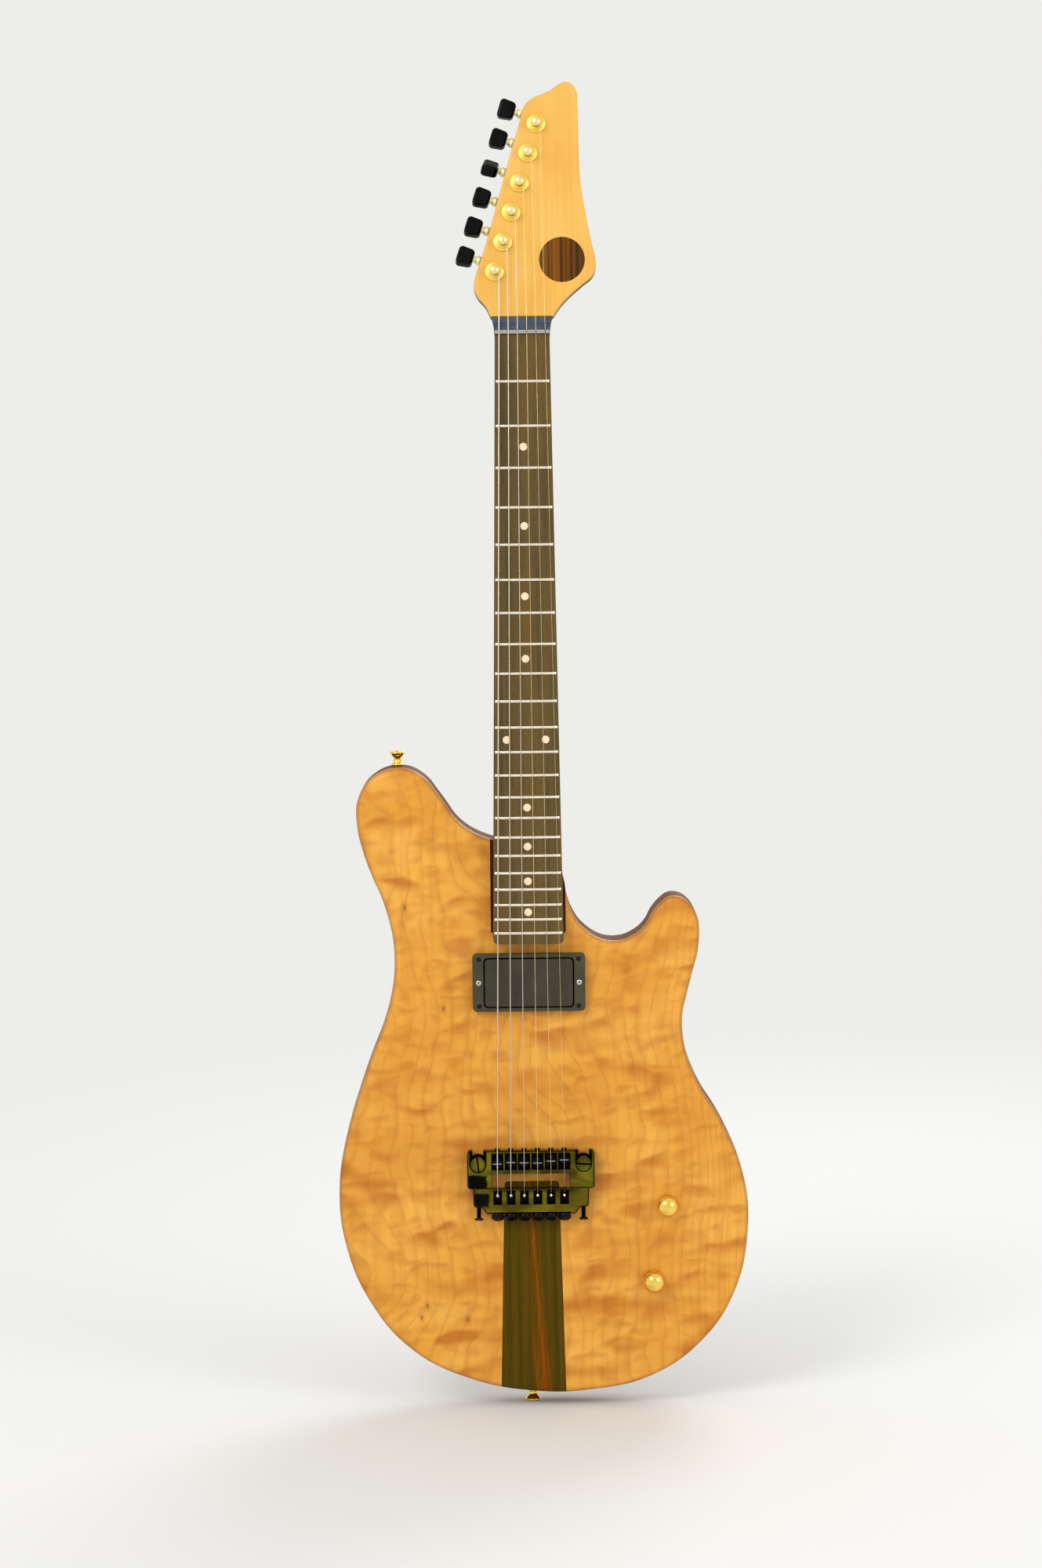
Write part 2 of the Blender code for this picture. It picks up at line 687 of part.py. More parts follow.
def neck_shaft(name):
    """The neck's round back, from the foot of the heel to its nose under the headstock."""
    top = NUT_Z + HEAD_START - GAP - OVERLAY_THICKNESS * math.sin(HEAD_ANGLE)
    half_top = board_width(NUT_Z - top) / 2
    sections = [(board_width(HEEL_END) / 2, NUT_Z - HEEL_END), (half_top, top)]
    for step in range(1, 6):
        angle = math.pi / 2 * step / 5.5
        sections.append((half_top * math.cos(angle), top + NECK_NOSE * math.sin(angle)))
    bm = bmesh.new()
    rings = []
    for half, z in sections:
        angles = [math.pi * step / 24 for step in range(25)]
        rings.append([
            bm.verts.new((half * math.cos(a), NECK_Y + NECK_ROUNDNESS * half * math.sin(a), z))
            for a in angles])
    for low, high in zip(rings, rings[1:]):
        for left, right in zip(range(24), range(1, 25)):
            bm.faces.new((low[left], low[right], high[right], high[left]))
    bm.faces.new(rings[0])
    bm.faces.new(rings[-1])
    bm.faces.new([ring[0] for ring in rings] + [ring[-1] for ring in reversed(rings)])
    return add_object(name, bm)


def make_neck(wood, frame):
    """Neck with its heel and headstock, truss rod, fingerboard, nut, ramp and overlay."""
    neck = neck_shaft("neck")
    over_nose = box(
        "over_nose", (-HEEL_HALF, -HEAD_THICKNESS, -GAP),
        (HEEL_HALF, OVERLAY_THICKNESS + 2 * GLUE, NECK_NOSE + EXTRA), parent=frame)
    cut(neck, over_nose)

    heel_z = NUT_Z - HEEL_END
    heel = outline(
        "heel", body_edge(), FRONT_Y - HEEL_PROUD, FRONT_Y + POCKET_DEPTH - GLUE, smooth=True)
    heel_limits = box(
        "heel_limits", (-HEEL_HALF, FRONT_Y - EXTRA, heel_z),
        (HEEL_HALF, FRONT_Y + POCKET_DEPTH + EXTRA, NUT_Z))
    keep(heel, heel_limits)
    head = head_outline(
        "head_core", OVERLAY_THICKNESS + GLUE, HEAD_THICKNESS, foot=HEAD_TONGUE)
    head.parent = frame
    channel = box(
        "rod_channel", (-ROD_HALF - GAP, NECK_Y - EXTRA, NUT_Z - ROD_END - GAP),
        (ROD_HALF + GAP, NECK_Y + ROD_DEPTH + 2 * GAP, NUT_Z - ROD_START + GAP))
    barrels = tuner_barrels("head_holes", frame, BARREL_RADIUS + GAP)
    fuse(neck, heel, head)
    cut(neck, channel, barrels)
    show(neck, wood["mahogany"])

    rod = box(
        "truss_rod", (-ROD_HALF, NECK_Y + GAP, NUT_Z - ROD_END),
        (ROD_HALF, NECK_Y + ROD_DEPTH + GAP, NUT_Z - ROD_START))
    show(rod, wood["steel"])

    overlay = head_outline("headstock_overlay", 0.0, OVERLAY_THICKNESS, foot=0.0)
    round_rim(overlay, 0.0, OVERLAY_THICKNESS / 2, 1)
    overlay.parent = frame
    recess = rods("inlay_recess", [
        ((INLAY_X, -EXTRA, INLAY_UP), (INLAY_X, INLAY_DEPTH, INLAY_UP), INLAY_RADIUS)],
        segments=48, parent=frame)
    cut(overlay, barrels, recess)
    show(overlay, wood["pale_maple"])
    inlay = rods("headstock_inlay", [
        ((INLAY_X, 0.0, INLAY_UP), (INLAY_X, INLAY_DEPTH - GLUE, INLAY_UP),
         INLAY_RADIUS - GLUE)], segments=48, parent=frame)
    show(inlay, wood["rosewood"])
    make_ramp(wood)
    make_fingerboard(wood)
    make_nut(wood)


def make_ramp(wood):
    """The dark slope from behind the nut down to the headstock's face."""
    low_z = NUT_Z + NUT_THICKNESS + 2 * GAP
    high_z = NUT_Z + HEAD_START - GAP
    half_low = board_width(0.0) / 2
    corners = [
        (-half_low, low_z), (half_low, low_z), (RAMP_HALF, high_z), (-RAMP_HALF, high_z)]
    ramp = outline(
        "nut_ramp", corners, BOARD_Y + NUT_RISE / 3, NECK_Y - GLUE, smooth=False)
    foot = Vector((0.0, BOARD_Y + HEAD_DROP, NUT_Z + HEAD_START))
    centre = foot + Vector((0.0, -math.cos(HEAD_ANGLE), math.sin(HEAD_ANGLE))) * RAMP_RADIUS
    hollow = rods("ramp_hollow", [
        (centre - Vector((RAMP_HALF + EXTRA, 0, 0)), centre + Vector((RAMP_HALF + EXTRA, 0, 0)),
         RAMP_RADIUS)], segments=64)
    cut(ramp, hollow)
    show(ramp, wood["rosewood"])


def crown_cutter(name, height):
    """A long cylinder whose front is the fingerboard's crown, raised by a height."""
    axis_y = BOARD_Y + BOARD_RADIUS
    return rods(name, [
        ((0.0, axis_y, NUT_Z - BOARD_LENGTH - EXTRA), (0.0, axis_y, NUT_Z + EXTRA),
         BOARD_RADIUS + height)], segments=CROWN_SEGMENTS)


def make_fingerboard(wood):
    """Tapered, crowned board with its fret wires."""
    end_z = NUT_Z - BOARD_LENGTH
    half_end = board_width(BOARD_LENGTH) / 2
    half_nut = board_width(0.0) / 2
    corners = [
        (-half_end, end_z, BOARD_CORNER), (half_end, end_z, BOARD_CORNER),
        (half_nut, NUT_Z, 0.0), (-half_nut, NUT_Z, 0.0)]
    board = outline("fretboard", rounded(corners), BOARD_Y, NECK_Y - GLUE, smooth=False)
    crown = crown_cutter("board_crown", 0.0)
    keep(board, crown)
    spans = []
    for number in range(1, FRETS + 1):
        distance = SCALE_LENGTH * (1 - 2 ** (-number / 12))
        half = board_width(distance) / 2 - FRET_INSET
        z = NUT_Z - distance
        spans.append((
            (-half, BOARD_Y - 2 * FRET_HEIGHT, z - FRET_WIDTH / 2),
            (half, BOARD_Y + BOARD_THICKNESS / 2, z + FRET_WIDTH / 2)))
    wires = boxes("fret_wires", spans)
    keep(wires, crown_cutter("fret_crown", FRET_HEIGHT))
    fuse(board, wires)
    show(board, wood["fretboard_rosewood"])


def make_nut(wood):
    half = board_width(0.0) / 2 - NUT_FOOT_INSET
    nut = box(
        "nut", (-half, BOARD_Y - NUT_RISE, NUT_Z + GAP),
        (half, NECK_Y - GLUE, NUT_Z + GAP + NUT_THICKNESS))
    slots = rods("nut_slots", [
        ((string_x(i, 0.0), string_y(i, 0.0), NUT_Z - EXTRA),
         (string_x(i, 0.0), string_y(i, 0.0), NUT_Z + NUT_THICKNESS + EXTRA),
         STRING_RADIUS[i] + GAP) for i in range(6)], segments=12)
    mouths = boxes("nut_slot_mouths", [
        ((string_x(i, 0.0) - STRING_RADIUS[i] - GAP, string_y(i, 0.0) - EXTRA, NUT_Z - EXTRA),
         (string_x(i, 0.0) + STRING_RADIUS[i] + GAP, string_y(i, 0.0),
          NUT_Z + NUT_THICKNESS + EXTRA)) for i in range(6)])
    cut(nut, slots, mouths)
    show(nut, wood["graphite"])


def tuner_barrels(name, frame, radius):
    """Holes through the headstock for the six tuners."""
    spans = []
    for index in range(6):
        x, up = post_place(index)
        spans.append(((x, -EXTRA, up), (x, HEAD_THICKNESS + EXTRA, up), radius))
    return rods(name, spans, parent=frame)


def make_tuner(index, finishes, frame):
    """One locking tuner: housing with its bushing, post, and button with its shaft."""
    number = 6 - index
    x, up = post_place(index)
    out = Vector((-math.cos(POST_LEAN), 0.0, math.sin(POST_LEAN)))
    side = Vector((math.sin(POST_LEAN), 0.0, math.cos(POST_LEAN)))
    post = Vector((x, 0.0, up))
    depth = HEAD_THICKNESS + GAP + HOUSING_DEPTH / 2
    shaft = post + side * SHAFT_OFFSET + Vector((0.0, depth, 0.0))

    bm = bmesh.new()
    case_middle = (
        post + out * (HOUSING_FRONT - HOUSING_BACK) / 2
        + side * (HOUSING_HIGH - HOUSING_LOW) / 2 + Vector((0.0, depth, 0.0)))
    turn = Matrix((out, Vector((0.0, 1.0, 0.0)), -side)).transposed().to_4x4()
    size = Matrix.Diagonal((
        HOUSING_FRONT + HOUSING_BACK, HOUSING_DEPTH, HOUSING_HIGH + HOUSING_LOW, 1.0))
    bmesh.ops.create_cube(bm, size=1.0, matrix=Matrix.Translation(case_middle) @ turn @ size)
    housing = add_object(f"tuner_housing_{number}", bm)
    round_all(housing, 0.0012, 1)
    housing.parent = frame
    seat = post + Vector((0, -GAP, 0))
    rim = post + Vector((0, -GAP - WASHER_THICKNESS, 0))
    barrel = rods(f"tuner_barrel_{number}", [
        ((seat + rim) / 2, post + Vector((0, depth, 0)),
         BARREL_RADIUS)], segments=16, parent=frame)
    washer = rods(
        f"tuner_washer_{number}", [(seat, rim, WASHER_RADIUS, WASHER_RADIUS - WASHER_THICKNESS)],
        segments=16, parent=frame)
    boss = rods(f"tuner_boss_{number}", [
        (shaft + out * HOUSING_FRONT / 2, shaft + out * BOSS_END, BOSS_RADIUS)],
        segments=16, parent=frame)
    bore = rods(f"tuner_bore_{number}", [
        (post + Vector((0, -EXTRA, 0)), post + Vector((0, POST_DEPTH + GAP, 0)),
         POST_RADIUS + GAP)], segments=12, parent=frame)
    shaft_bore = rods(f"tuner_shaft_bore_{number}", [
        (shaft + out * (SHAFT_START - GAP), shaft + out * (BOSS_END + EXTRA),
         SHAFT_RADIUS + GAP)], segments=12, parent=frame)
    fuse(housing, barrel, washer, boss)
    cut(housing, bore, shaft_bore)
    show(housing, finishes["gold"])

    waist_low = STRING_UP - WAIST_HALF
    waist_high = STRING_UP + WAIST_HALF
    profile = [
        (0.0, POST_HEIGHT), (CAP_RADIUS * 0.55, POST_HEIGHT - 0.0003),
        (CAP_RADIUS * 0.9, POST_HEIGHT - 0.0012), (CAP_RADIUS, POST_HEIGHT - 0.0024),
        (CAP_RADIUS, waist_high + 0.0006), (WAIST_RADIUS, waist_high), (WAIST_RADIUS, waist_low),
        (POST_RADIUS, waist_low - 0.0004), (POST_RADIUS, -POST_DEPTH), (0.0, -POST_DEPTH)]
    spindle = turned(
        f"tuner_post_{number}", profile, post, (0, -1, 0), segments=16, parent=frame)
    show(spindle, finishes["gold"])

    hub = bpy.data.objects.new(f"tuner_shaft_axis_{number}", None)
    bpy.data.collections["guitar_cutters"].objects.link(hub)
    hub.parent = frame
    spin = Matrix.Rotation(math.radians(BUTTON_TURNS[index]), 4, "X")
    hub.matrix_local = Matrix.Translation(shaft) @ turn @ spin
    start = BOSS_END + 2 * GAP
    button = box(
        f"tuner_button_{number}", (start, -BUTTON_THICKNESS / 2, -BUTTON_WIDTH / 2),
        (start + BUTTON_LENGTH, BUTTON_THICKNESS / 2, BUTTON_WIDTH / 2), parent=hub)
    round_all(button, BUTTON_ROUND, 2)
    stem = rods(f"tuner_stem_{number}", [
        ((SHAFT_START, 0, 0), (start + BUTTON_LENGTH / 2, 0, 0), SHAFT_RADIUS)],
        segments=12, parent=hub)
    fuse(button, stem)
    show(button, finishes["black_gloss"], hub)


def make_string(index, finishes, frame):
    """A string from its ball end, over the saddle and the nut, to its post."""
    number = 6 - index
    radius = STRING_RADIUS[index]
    x_saddle, x_nut = string_x(index, 1.0), string_x(index, 0.0)
    y_saddle, y_nut = string_y(index, 1.0), string_y(index, 0.0)
    break_z = BAY_LOWER_Z + GAP + SADDLE_LENGTH / 2 - RIDGE_HALF
    ball_y = front(HOLDER_FLOOR + GAP + BALL_RADIUS)

    to_world = Matrix.Translation((0.0, BOARD_Y + HEAD_DROP, NUT_Z + HEAD_START)) \
        @ Matrix.Rotation(-HEAD_ANGLE, 4, "X")
    x_post, up_post = post_place(index)
    wrap = WAIST_RADIUS + GAP + radius
    nut_local = to_world.inverted() @ Vector((x_nut, y_nut, NUT_Z + NUT_THICKNESS))
    away = Vector((x_post - nut_local.x, up_post - nut_local.z))
    offset = math.asin(wrap / away.length)
    heading = math.atan2(away.y, away.x)
    first = heading + offset - math.pi / 2
    turns = [
        to_world @ Vector((
            x_post + wrap * math.cos(first + math.radians(270) * step / 9),
            -STRING_UP,
            up_post + wrap * math.sin(first + math.radians(270) * step / 9)))
        for step in range(10)]
    bend = radius + 0.0006
    route = [
        Vector((x_saddle, ball_y, BALL_Z)),
        Vector((x_saddle, ball_y - 0.0004, BALL_Z + 0.0035)),
        Vector((x_saddle, y_saddle + bend, break_z - 0.0014)),
        Vector((x_saddle, y_saddle, break_z)),
        Vector((x_nut, y_nut, NUT_Z)),
        Vector((x_nut, y_nut, NUT_Z + NUT_THICKNESS)),
        *turns]
    data = bpy.data.curves.new(f"string_{number}", "CURVE")
    data.dimensions = "3D"
    data.bevel_depth = radius
    data.bevel_resolution = 1
    data.use_fill_caps = True
    spline = data.splines.new("POLY")
    spline.points.add(len(route) - 1)
    for knot, point in zip(spline.points, route):
        knot.co = (*point, 1.0)
    holder = bpy.data.objects.new(f"string_{number}", data)
    bpy.data.collections["guitar_cutters"].objects.link(holder)
    wire = baked(holder)
    ball = rods(f"string_ball_{number}", [
        ((x_saddle - BALL_LENGTH / 2, ball_y, BALL_Z), (x_saddle + BALL_LENGTH / 2, ball_y, BALL_Z),
         BALL_RADIUS)], segments=16)
    fuse(wire, ball)
    show(wire, finishes["string_steel"])


def make_bridge(finishes):
    """Cast frame on two studs, six saddles and six fine-tuning screws."""
    columns = [string_x(index, 1.0) for index in range(6)]
    middle_z = (FRAME_UPPER_Z + FRAME_MIDDLE_Z) / 2
    frame = plate(
        "bridge_frame", (0.0, middle_z), (2 * FRAME_HALF, FRAME_UPPER_Z - FRAME_MIDDLE_Z),
        front(FRAME_TOP), front(FRAME_BASE), FRAME_CORNER, steps=2)
    round_rim(frame, front(FRAME_TOP), FRAME_ROUND, 2)
    half = [
        (BLOCK_HALF, middle_z, 0.0), (BLOCK_HALF, BLOCK_END_Z, FRAME_CORNER),
        (SHOULDER_X, BLOCK_END_Z, FRAME_CORNER), (BAR_HALF, BAR_END_Z, FRAME_CORNER / 2)]
    block = outline(
        "bridge_block", rounded(half + [(-x, z, r) for x, z, r in reversed(half)], 2),
        front(BLOCK_TOP), front(FRAME_BASE), smooth=False)
    round_rim(block, front(BLOCK_TOP), FRAME_ROUND, 2)

    lean = Vector((0.0, -math.cos(THUMB_LEAN), -math.sin(THUMB_LEAN)))
    heads = [Vector((x, front(THUMB_UP), THUMB_Z)) for x in columns]
    clear = THUMB_THICKNESS / 2 + GAP
    relief_turn = Matrix.Rotation(THUMB_LEAN, 4, "X")
    depth = 0.020
    middle = Vector((0.0, front(THUMB_UP), THUMB_Z)) + lean * (depth / 2 - clear)
    bm = bmesh.new()
    bmesh.ops.create_cube(
        bm, size=1.0, matrix=Matrix.Translation(middle) @ relief_turn
        @ Matrix.Diagonal((2 * FRAME_HALF, depth, 0.0110, 1.0)))
    relief = add_object("thumb_relief", bm)
    thumb_holes = rods("thumb_holes", [
        (head, head - lean * (THUMB_REACH + GAP), THUMB_SHAFT + GAP) for head in heads],
        segments=12)

    bay = boxes("saddle_bays", [
        ((x - CHANNEL_HALF, front(FRAME_TOP + EXTRA), BAY_LOWER_Z),
         (x + CHANNEL_HALF, front(BAY_FLOOR), BAY_UPPER_Z)) for x in columns])
    window = box(
        "bridge_window", (-WINDOW_HALF, front(FRAME_TOP + EXTRA), WINDOW_LOWER_Z),
        (WINDOW_HALF, front(FRAME_BASE - EXTRA / 2), WINDOW_UPPER_Z))
    wall = box(
        "wall_relief", (-WINDOW_HALF, front(FRAME_TOP + EXTRA), WINDOW_UPPER_Z - 0.001),
        (WINDOW_HALF, front(WALL_TOP), BAY_LOWER_Z + 0.001))
    holders = boxes("ball_holders", [
        ((x - HOLDER_HALF, front(FRAME_TOP + EXTRA), HOLDER_LOWER_Z),
         (x + HOLDER_HALF, front(HOLDER_FLOOR), HOLDER_UPPER_Z)) for x in columns])
    slots = boxes("ball_slots", [
        ((x - HOLDER_SLOT, front(FRAME_TOP + EXTRA), HOLDER_UPPER_Z - 0.001),
         (x + HOLDER_SLOT, front(HOLDER_FLOOR + GAP), WINDOW_LOWER_Z + 0.001)) for x in columns])
    notches = []
    for side, word in ((-1, "bass"), (1, "treble")):
        x = side * STUD_X
        neck_half = STUD_NECK + GAP
        head_half = STUD_HEAD + 2 * GAP
        notches.append(rods(f"notch_{word}", [
            ((x, front(0.0), STUD_Z), (x, front(FRAME_TOP + EXTRA), STUD_Z), neck_half)]))
        notches.append(rods(f"notch_head_{word}", [
            ((x, front(STUD_HEAD_BASE - GAP), STUD_Z), (x, front(FRAME_TOP + EXTRA), STUD_Z),
             head_half)]))
        notches.append(box(
            f"notch_mouth_{word}", (x - neck_half, front(FRAME_TOP + EXTRA), STUD_Z),
            (x + neck_half, front(0.0), FRAME_UPPER_Z + EXTRA)))
        notches.append(box(
            f"notch_head_mouth_{word}", (x - head_half, front(FRAME_TOP + EXTRA), STUD_Z),
            (x + head_half, front(STUD_HEAD_BASE - GAP), FRAME_UPPER_Z + EXTRA)))
    screws = rods("intonation_screws", [
        ((x, front(SCREW_UP), FRAME_UPPER_Z + 0.0012), (x, front(SCREW_UP), BAY_LOWER_Z - 0.0003),
         SCREW_RADIUS) for x in columns], segments=10)
    screw_heads = rods("intonation_heads", [
        ((x, front(SCREW_UP), FRAME_UPPER_Z - 0.0004), (x, front(SCREW_UP), FRAME_UPPER_Z + 0.0016),
         SCREW_HEAD) for x in columns], segments=12)
    set_screws = rods("set_screws", [
        ((side * SET_SCREW_X, front(SET_SCREW_UP), BLOCK_END_Z + 0.003),
         (side * SET_SCREW_X, front(SET_SCREW_UP), SET_SCREW_END_Z + 0.0005), SET_SCREW_RADIUS)
        for side in (-1, 1)], segments=12)
    set_heads = rods("set_screw_heads", [
        ((side * SET_SCREW_X, front(SET_SCREW_UP), SET_SCREW_END_Z + SET_SCREW_DISC),
         (side * SET_SCREW_X, front(SET_SCREW_UP), SET_SCREW_END_Z), SET_SCREW_HEAD)
        for side in (-1, 1)], segments=16)
    fuse(frame, block)
    cut(frame, relief, thumb_holes, bay, window, wall, holders, slots, *notches)
    fuse(frame, screws, screw_heads, set_screws, set_heads)
    show(frame, finishes["black_chrome"])

    for side, word in ((-1, "bass"), (1, "treble")):
        make_stud(side, word, finishes)
    for index, x in enumerate(columns):
        make_saddle(index, x, finishes)
        make_fine_tuner(index, heads[index], lean, finishes)


def boxes(name, spans):
    """Boxes, each (low corner, high corner), in one object."""
    bm = bmesh.new()
    for low, high in spans:
        low, high = Vector(low), Vector(high)
        size = [abs(a - b) for a, b in zip(high, low)]
        bmesh.ops.create_cube(
            bm, size=1.0,
            matrix=Matrix.Translation((low + high) / 2) @ Matrix.Diagonal((*size, 1.0)))
    return add_object(name, bm)


def make_stud(side, word, finishes):
    """A slotted stud that the frame hooks round."""
    profile = [
        (0.0, STUD_HEAD_TOP), (STUD_HEAD * 0.85, STUD_HEAD_TOP),
        (STUD_HEAD, STUD_HEAD_TOP - 0.0008), (STUD_HEAD, STUD_HEAD_BASE),
        (STUD_NECK, STUD_HEAD_BASE), (STUD_NECK, STUD_FLANGE_TOP),
        (STUD_FLANGE, STUD_FLANGE_TOP), (STUD_FLANGE, GAP), (STUD_NECK, GAP),
        (STUD_NECK, -STUD_DEPTH), (0.0, -STUD_DEPTH)]
    base = (side * STUD_X, FRONT_Y, STUD_Z)
    stud = turned(f"bridge_stud_{word}", profile, base, (0, -1, 0))
    slot = box(
        f"stud_slot_{word}", (-STUD_HEAD - EXTRA, -STUD_HEAD_TOP - EXTRA, -STUD_SLOT / 2),
        (STUD_HEAD + EXTRA, STUD_SLOT - STUD_HEAD_TOP, STUD_SLOT / 2))
    slot.location = base
    slot.rotation_euler = (0.0, math.radians(STUD_TURNS[word]), 0.0)
    cut(stud, slot)
    show(stud, finishes["black_chrome"])


def make_saddle(index, x, finishes):
    """A block on its intonation screw, with a ridge under the string."""
    number = 6 - index
    ridge_z = SADDLE_Z + COMPENSATION[index]
    ridge_y = string_y(index, 1.0) + STRING_RADIUS[index] + GAP
    foot = box(
        f"saddle_{number}",
        (x - SADDLE_HALF, front(SADDLE_TOP), ridge_z - SADDLE_LENGTH / 2),
        (x + SADDLE_HALF, front(BAY_FLOOR + GAP), ridge_z + SADDLE_LENGTH / 2))
    ridge = box(
        f"saddle_ridge_{number}", (x - SADDLE_HALF, ridge_y, ridge_z - RIDGE_HALF),
        (x + SADDLE_HALF, front(SADDLE_TOP - RIDGE_HALF), ridge_z + RIDGE_HALF))
    bore = rods(f"saddle_bore_{number}", [
        ((x, front(SCREW_UP), ridge_z - SADDLE_LENGTH), (x, front(SCREW_UP), ridge_z + SADDLE_LENGTH),
         SCREW_RADIUS + GAP)], segments=12)
    fuse(foot, ridge)
    cut(foot, bore)
    set_origin(foot, (x, front(SCREW_UP), ridge_z))
    show(foot, finishes["black_chrome"])


def make_fine_tuner(index, head, lean, finishes):
    """A knurled thumbscrew behind the string's holder."""
    half = THUMB_THICKNESS / 2
    profile = [
        (0.0, half), (THUMB_RADIUS * 0.86, half), (THUMB_RADIUS, half * 0.7),
        (THUMB_RADIUS, -half * 0.7), (THUMB_RADIUS * 0.86, -half), (THUMB_SHAFT, -half),
        (THUMB_SHAFT, -THUMB_REACH), (0.0, -THUMB_REACH)]
    screw = turned(f"fine_tuner_{6 - index}", profile, head, lean, segments=16)
    show(screw, finishes["black_gloss"])


def make_pickup(finishes):
    """Humbucker with a plain cover, in a ring that its height screws pass through."""
    window = (COVER_LENGTH + 2 * COVER_CLEARANCE, COVER_WIDTH + 2 * COVER_CLEARANCE)
    ring = plate(
        "pickup_ring", (0.0, PICKUP_Z), (RING_LENGTH, RING_WIDTH), front(RING_HEIGHT), front(GAP),
        RING_CORNER)
    round_rim(ring, front(RING_HEIGHT), 0.0015, 2)
    opening = plate(
        "ring_opening", (0.0, PICKUP_Z), window, front(RING_HEIGHT + EXTRA), front(-EXTRA),
        COVER_CORNER)
    screws = rods("height_screws", [
        ((side * HEIGHT_SCREW_X, front(RING_HEIGHT + HEIGHT_SCREW_RISE), PICKUP_Z),
         (side * HEIGHT_SCREW_X, front(RING_HEIGHT / 2), PICKUP_Z), HEIGHT_SCREW_HEAD)
        for side in (-1, 1)], segments=16)
    shanks = rods("height_screw_shanks", [
        ((side * HEIGHT_SCREW_X, front(RING_HEIGHT / 3), PICKUP_Z),
         (side * HEIGHT_SCREW_X, front(-HEIGHT_SCREW_REACH), PICKUP_Z), HEIGHT_SCREW_SHANK)
        for side in (-1, 1)], segments=10)
    cut(ring, opening)
    fuse(ring, screws, shanks)
    show(ring, finishes["black_plastic"])
    pickup = plate(
        "pickup", (0.0, PICKUP_Z), (COVER_LENGTH, COVER_WIDTH), front(PICKUP_TOP),
        front(PICKUP_TOP - PICKUP_DEPTH), COVER_CORNER)
    round_rim(pickup, front(PICKUP_TOP), PICKUP_ROUND, 2)
    ear_y = front(PICKUP_TOP - EAR_DROP)
    ears = plate(
        "pickup_ears", (0.0, PICKUP_Z), (2 * EAR_HALF_X, 2 * EAR_HALF_Z), ear_y,
        ear_y + EAR_THICKNESS, COVER_CORNER, steps=2)
    ear_holes = rods("ear_holes", [
        ((side * HEIGHT_SCREW_X, ear_y - EXTRA, PICKUP_Z),
         (side * HEIGHT_SCREW_X, ear_y + EXTRA, PICKUP_Z), HEIGHT_SCREW_SHANK + GAP)
        for side in (-1, 1)], segments=10)
    fuse(pickup, ears)
    cut(pickup, ear_holes)
    set_origin(pickup, (0.0, front(PICKUP_TOP), PICKUP_Z))
    show(pickup, finishes["black_plastic"])


def make_controls(finishes):
    """Two potentiometers with their knobs, the battery and the output jack."""
    ceiling = -CONTROL_CEILING + GAP
    for word, (x, z) in KNOBS.items():
        case_y = ceiling + POT_CASE
        case = rods(f"pot_{word}", [((x, ceiling, z), (x, case_y, z), POT_RADIUS)])
        bushing = rods(f"pot_bushing_{word}", [
            ((x, ceiling + POT_CASE / 2, z), (x, front(BUSHING_RISE), z), BUSHING_RADIUS)])
        bore = rods(f"pot_bore_{word}", [
            ((x, front(BUSHING_RISE + EXTRA), z), (x, ceiling + POT_CASE * 0.7, z),
             POT_SHAFT + GAP)])
        fuse(case, bushing)
        cut(case, bore)
        show(case, finishes["steel"])

        reach = front(0.0) - (ceiling + POT_CASE * 0.7 - 2 * GAP)
        profile = [
            (0.0, KNOB_TOP), (KNOB_RADIUS * 0.35, KNOB_TOP - 0.0003),
            (KNOB_RADIUS * 0.68, KNOB_TOP - 0.0013), (KNOB_RADIUS * 0.9, KNOB_TOP - 0.0030),
            (KNOB_RADIUS, KNOB_TOP - 0.0055), (KNOB_RADIUS, KNOB_BASE),
            (KNOB_RECESS, KNOB_BASE), (KNOB_RECESS, KNOB_BASE + KNOB_RECESS_DEPTH),
            (POT_SHAFT, KNOB_BASE + KNOB_RECESS_DEPTH), (POT_SHAFT, reach), (0.0, reach)]
        knob = turned(f"knob_{word}", profile, (x, FRONT_Y, z), (0, -1, 0), segments=28)
        show(knob, finishes["gold"])

    size = Vector(BATTERY_SIZE)
    low = Vector((BATTERY_X, ceiling, BATTERY_Z))
    battery = box("battery", low, low + size)
    round_all(battery, 0.0015, 1)
    show(battery, finishes["steel"])

    profile = [
        (0.0, -JACK_BORE_DEPTH), (JACK_BORE, -JACK_BORE_DEPTH), (JACK_BORE, 0.0),
        (JACK_FLANGE - 0.0006, 0.0), (JACK_FLANGE, -0.0006), (JACK_FLANGE, -JACK_FLANGE_THICKNESS),
        (JACK_BARREL, -JACK_FLANGE_THICKNESS), (JACK_BARREL, -JACK_LENGTH), (0.0, -JACK_LENGTH)]
    jack = turned(
        "output_jack", profile, (JACK_FACE_X, JACK_Y, JACK_Z), (1, 0, 0), segments=28)
    show(jack, finishes["gold"])


